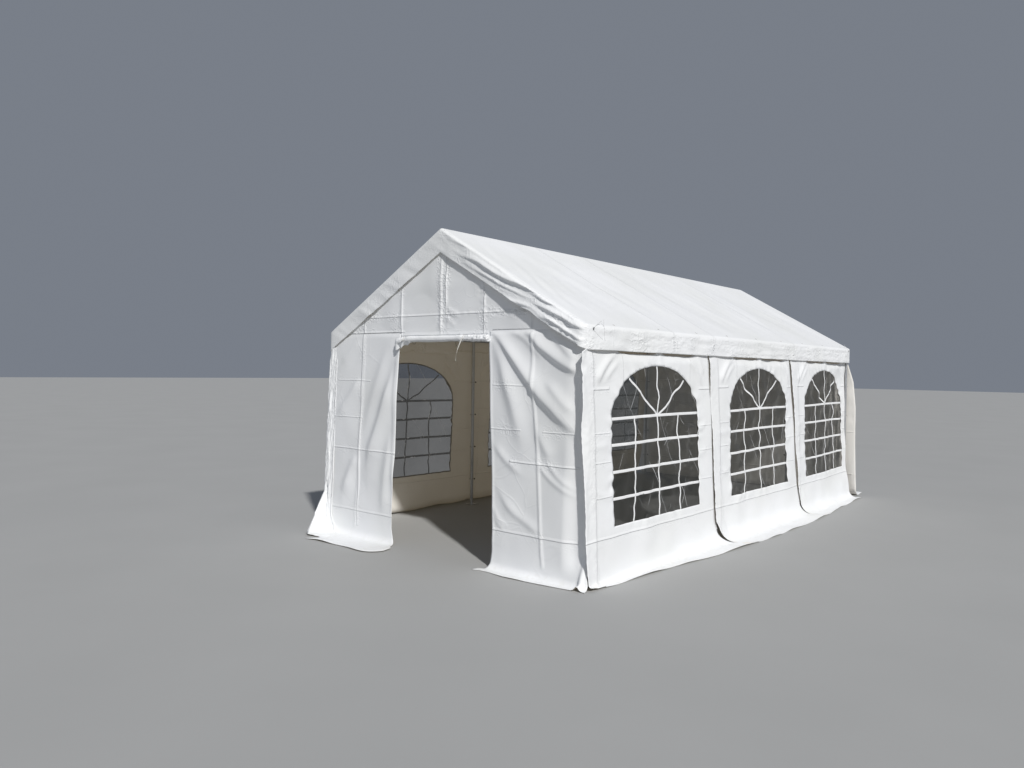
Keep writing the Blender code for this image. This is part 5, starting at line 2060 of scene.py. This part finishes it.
@dataclass
class SteelFrame:
    """The frame of tubes: its finish, the bolts in its sockets and the elastic ties on it."""

    sizes: TentSizes
    bolt_in: float = 0.085
    bolt_radius: float = 0.0065
    bolt_height: float = 0.006
    washer_radius: float = 0.0095
    washer_height: float = 0.0032
    tie_radius: float = 0.0032
    tie_heights: Values = (0.30, 0.68, 1.06, 1.44)
    ball_radius: float = 0.0085

    def build(self) -> None:
        """Gives every steel node the galvanised finish, then makes the bolts and the ties."""
        steel = SteelFinish().build()
        for name, obj in frame["nodes"].items():
            if name.startswith(("post_", "rafter_", "ridge_", "eave_")):
                for slot in obj.material_slots:
                    slot.material = steel
        self.bolts()
        self.elastic_ties()

    def bolts(self) -> None:
        """Makes a hexagon bolt with a washer on each socket of the frame."""
        k, parts, tilt = self.sizes, MeshParts(), atan(self.sizes.slope)
        ridge_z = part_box("ridge_connector_front")[1].z - k.tube_radius
        for number, y in enumerate(k.frames_y):
            ways = [way for way in (1, -1) if 0 <= number + way < len(k.frames_y)]
            for side in (-1, 1):
                rise = np.array([-side * cos(tilt), 0, sin(tilt)]) * self.bolt_in
                out = (-side * sin(tilt), 0, -cos(tilt))
                self.bolt(parts, (side * k.posts_x, y, k.eave_tube_z) + rise, out)
                self.bolt(parts, (0, y, ridge_z) - rise, out)
                for way in ways:
                    self.bolt(parts, np.array([side * k.posts_x, y + way * self.bolt_in, k.eave_tube_z]), (-side, 0, 0))
            for way in ways:
                self.bolt(parts, np.array([0, y + way * self.bolt_in, ridge_z]), (0, 0, -1))
        obj = parts.build("frame_bolts")
        obj.data.shade_flat()
        dress(obj, SteelFinish("bolt_steel", (0.48, 0.49, 0.50), (0.62, 0.62, 0.62)).build())
        settle(obj, "steel_frame")

    def bolt(self, parts: MeshParts, centre: Array, out: Sequence[float]) -> None:
        """Adds one bolt: a washer and a hexagon head turned about the way out.

        Args:
            parts: Where its shapes go.
            centre: Point on the tube's axis.
            out: The way in which the bolt stands out.
        """
        out = unit(np.array(out, float))
        side = unit(np.cross(out, [0, 1.0, 0.01]))
        start = centre + out * (self.sizes.tube_radius - 0.002)
        washer = self.washer_height
        head = (6, self.bolt_radius, washer, washer + self.bolt_height)
        for sides, radius, low, high in ((12, self.washer_radius, 0.0, washer), head):
            shape = round_section(radius, sides) @ np.array([side, np.cross(out, side)])
            rings = (out * low + shape, out * (high - 0.0012) + shape, out * high + shape * 0.88)
            parts.add_tube(start + np.stack(rings))

    def elastic_ties(self) -> None:
        """Makes the elastic loops that hold the wall panels to the posts and eave tubes."""
        k, loops, balls = self.sizes, MeshParts(), MeshParts()
        turn = linspace(0, 2 * pi, 22, endpoint=False)
        cord, up, along = round_section(self.tie_radius, 6), np.array([0, 0, 1.0]), np.array([0, 1.0, 0])
        for side in (-1, 1):
            spoke = xyz(side * cos(turn), sin(turn), 0)
            reach = (k.tube_radius + 0.004 + 0.006 * cos(turn))[:, None]
            for y in k.frames_y:
                for z in self.tie_heights:
                    path = (side * k.posts_x, y, z) + spoke * reach + xyz(0, 0, 0.006 * sin(turn))
                    loops.add_tube(carried(path, spoke, up, cord), looped=True)
                    self.ball(balls, np.array([side * (k.posts_x - 0.034), y + 0.010, z]))
            spoke = xyz(side * cos(turn), 0, sin(turn))
            reach = (k.tube_radius + 0.004 + 0.05 * clip(-sin(turn), 0, 1) ** 3)[:, None]
            for bay in range(len(k.frames_y) - 1):
                for offset in SideBay.peaks[1:4]:
                    y = (k.frames_y[bay] + k.frames_y[bay + 1]) / 2 + offset
                    path = (side * k.posts_x, y, k.eave_tube_z) + spoke * reach
                    loops.add_tube(carried(path, spoke, along, cord), looped=True)
                    self.ball(balls, np.array([side * (k.posts_x - 0.033), y, k.eave_tube_z - 0.004]))
        for parts, name, colour in ((loops, "elastic_loops", (0.55, 0.55, 0.54)),
                                    (balls, "elastic_balls", (0.06, 0.06, 0.065))):
            obj = parts.build(name)
            dress(obj, WebbingFinish(name + "_finish", colour, 700.0, 0.5).build())
            settle(obj, "tie_ribbon")

    def ball(self, parts: MeshParts, centre: Array) -> None:
        """Adds a ball from rings: radius times sine across and cosine along its axis."""
        polar, turn = linspace(0.12, pi - 0.12, 8)[:, None], linspace(0, 2 * pi, 12, endpoint=False)
        parts.add_tube(centre + self.ball_radius * xyz(sin(polar) * cos(turn), sin(polar) * sin(turn), cos(polar)))


@dataclass(frozen=True)
class Studio:
    """The pale floor, the soft light and the camera at the photograph's place."""

    camera_place: Point3 = (4.803, -7.661, 1.590)
    heading: float = 40.50
    downwards: float = 1.03
    roll: float = -0.876
    focal_pixels: float = 776.4
    image_width: int = 1024
    sensor: float = 36.0
    key_from: Point3 = (0.668, -0.372, 0.645)
    key_power: float = 3.22
    key_softness: float = 2.4
    key_colour: Colour = (1.0, 0.975, 0.94)
    sky: Colour = (0.56, 0.62, 0.73)
    sky_power: float = 0.34
    floor_reach: float = 90.0
    floor_z: float = -0.0012

    def camera(self) -> None:
        """Makes the camera from its heading, tilt and roll in degrees."""
        a, e, r = (radians(v) for v in (self.heading, self.downwards, self.roll))
        ahead = Vector((-sin(a) * cos(e), cos(a) * cos(e), -sin(e)))
        right = ahead.cross(Vector((0, 0, 1))).normalized()
        down = ahead.cross(right)
        turn = Matrix((right * cos(r) + down * sin(r), right * sin(r) - down * cos(r), -ahead)).transposed().to_4x4()
        data = bpy.data.cameras.new("camera")
        data.sensor_width = self.sensor
        data.lens = self.focal_pixels * self.sensor / self.image_width
        data.clip_end = 200
        obj = bpy.data.objects.new("camera", data)
        obj.matrix_world = Matrix.Translation(self.camera_place) @ turn
        bpy.context.scene.collection.objects.link(obj)
        bpy.context.scene.camera = obj

    def light(self) -> None:
        """Makes the key light and the even light of the room."""
        lamp = bpy.data.lights.new("key", "SUN")
        lamp.energy, lamp.angle, lamp.color = self.key_power, radians(self.key_softness), self.key_colour
        obj = bpy.data.objects.new("key", lamp)
        obj.rotation_euler = Vector(self.key_from).to_track_quat("Z", "Y").to_euler()
        bpy.context.scene.collection.objects.link(obj)
        world = bpy.data.worlds.new("studio")
        world.use_nodes = True
        background = world.node_tree.nodes["Background"]
        background.inputs["Color"].default_value = (*self.sky, 1)
        background.inputs["Strength"].default_value = self.sky_power
        bpy.context.scene.world = world
        bpy.context.scene.view_settings.view_transform = "Standard"

    def floor(self) -> None:
        """Makes the pale floor."""
        size, parts = self.floor_reach, MeshParts()
        corners = np.array([(-size, -size), (size, -size), (size, size), (-size, size)])
        parts.add(xyz(*corners.T, self.floor_z), [np.array([[0, 1, 2, 3]])])
        obj = parts.build("floor")
        graph = Graph("pale_floor")
        colour = graph.mix(graph.noise(0.8), (0.37, 0.375, 0.375, 1), (0.41, 0.415, 0.415, 1))
        dress(obj, graph.surface({"Base Color": colour, "Roughness": 0.8}))


def main() -> None:
    """Builds the studio and the tent's pieces in order."""
    logging.basicConfig(level=logging.INFO, format="%(name)s: %(message)s")
    studio = Studio()
    studio.camera()
    studio.light()
    studio.floor()
    sizes = TentSizes.read()
    DoorRoll().build()
    SteelFrame(sizes).build()
    cover = RoofCover(sizes)
    cover.build()
    CornerPatch(cover).build()
    for side in (1, -1):
        for bay in range(3):
            section = SideBay(sizes, side, bay)
            section.panel()
            section.film()
            section.straps()
    FrontGable(sizes).build()
    left_flap(sizes).build()
    right_flap(sizes).build()
    CornerMargin(sizes).build()
    BackWall(sizes).build()


if __name__ == "__main__":
    main()
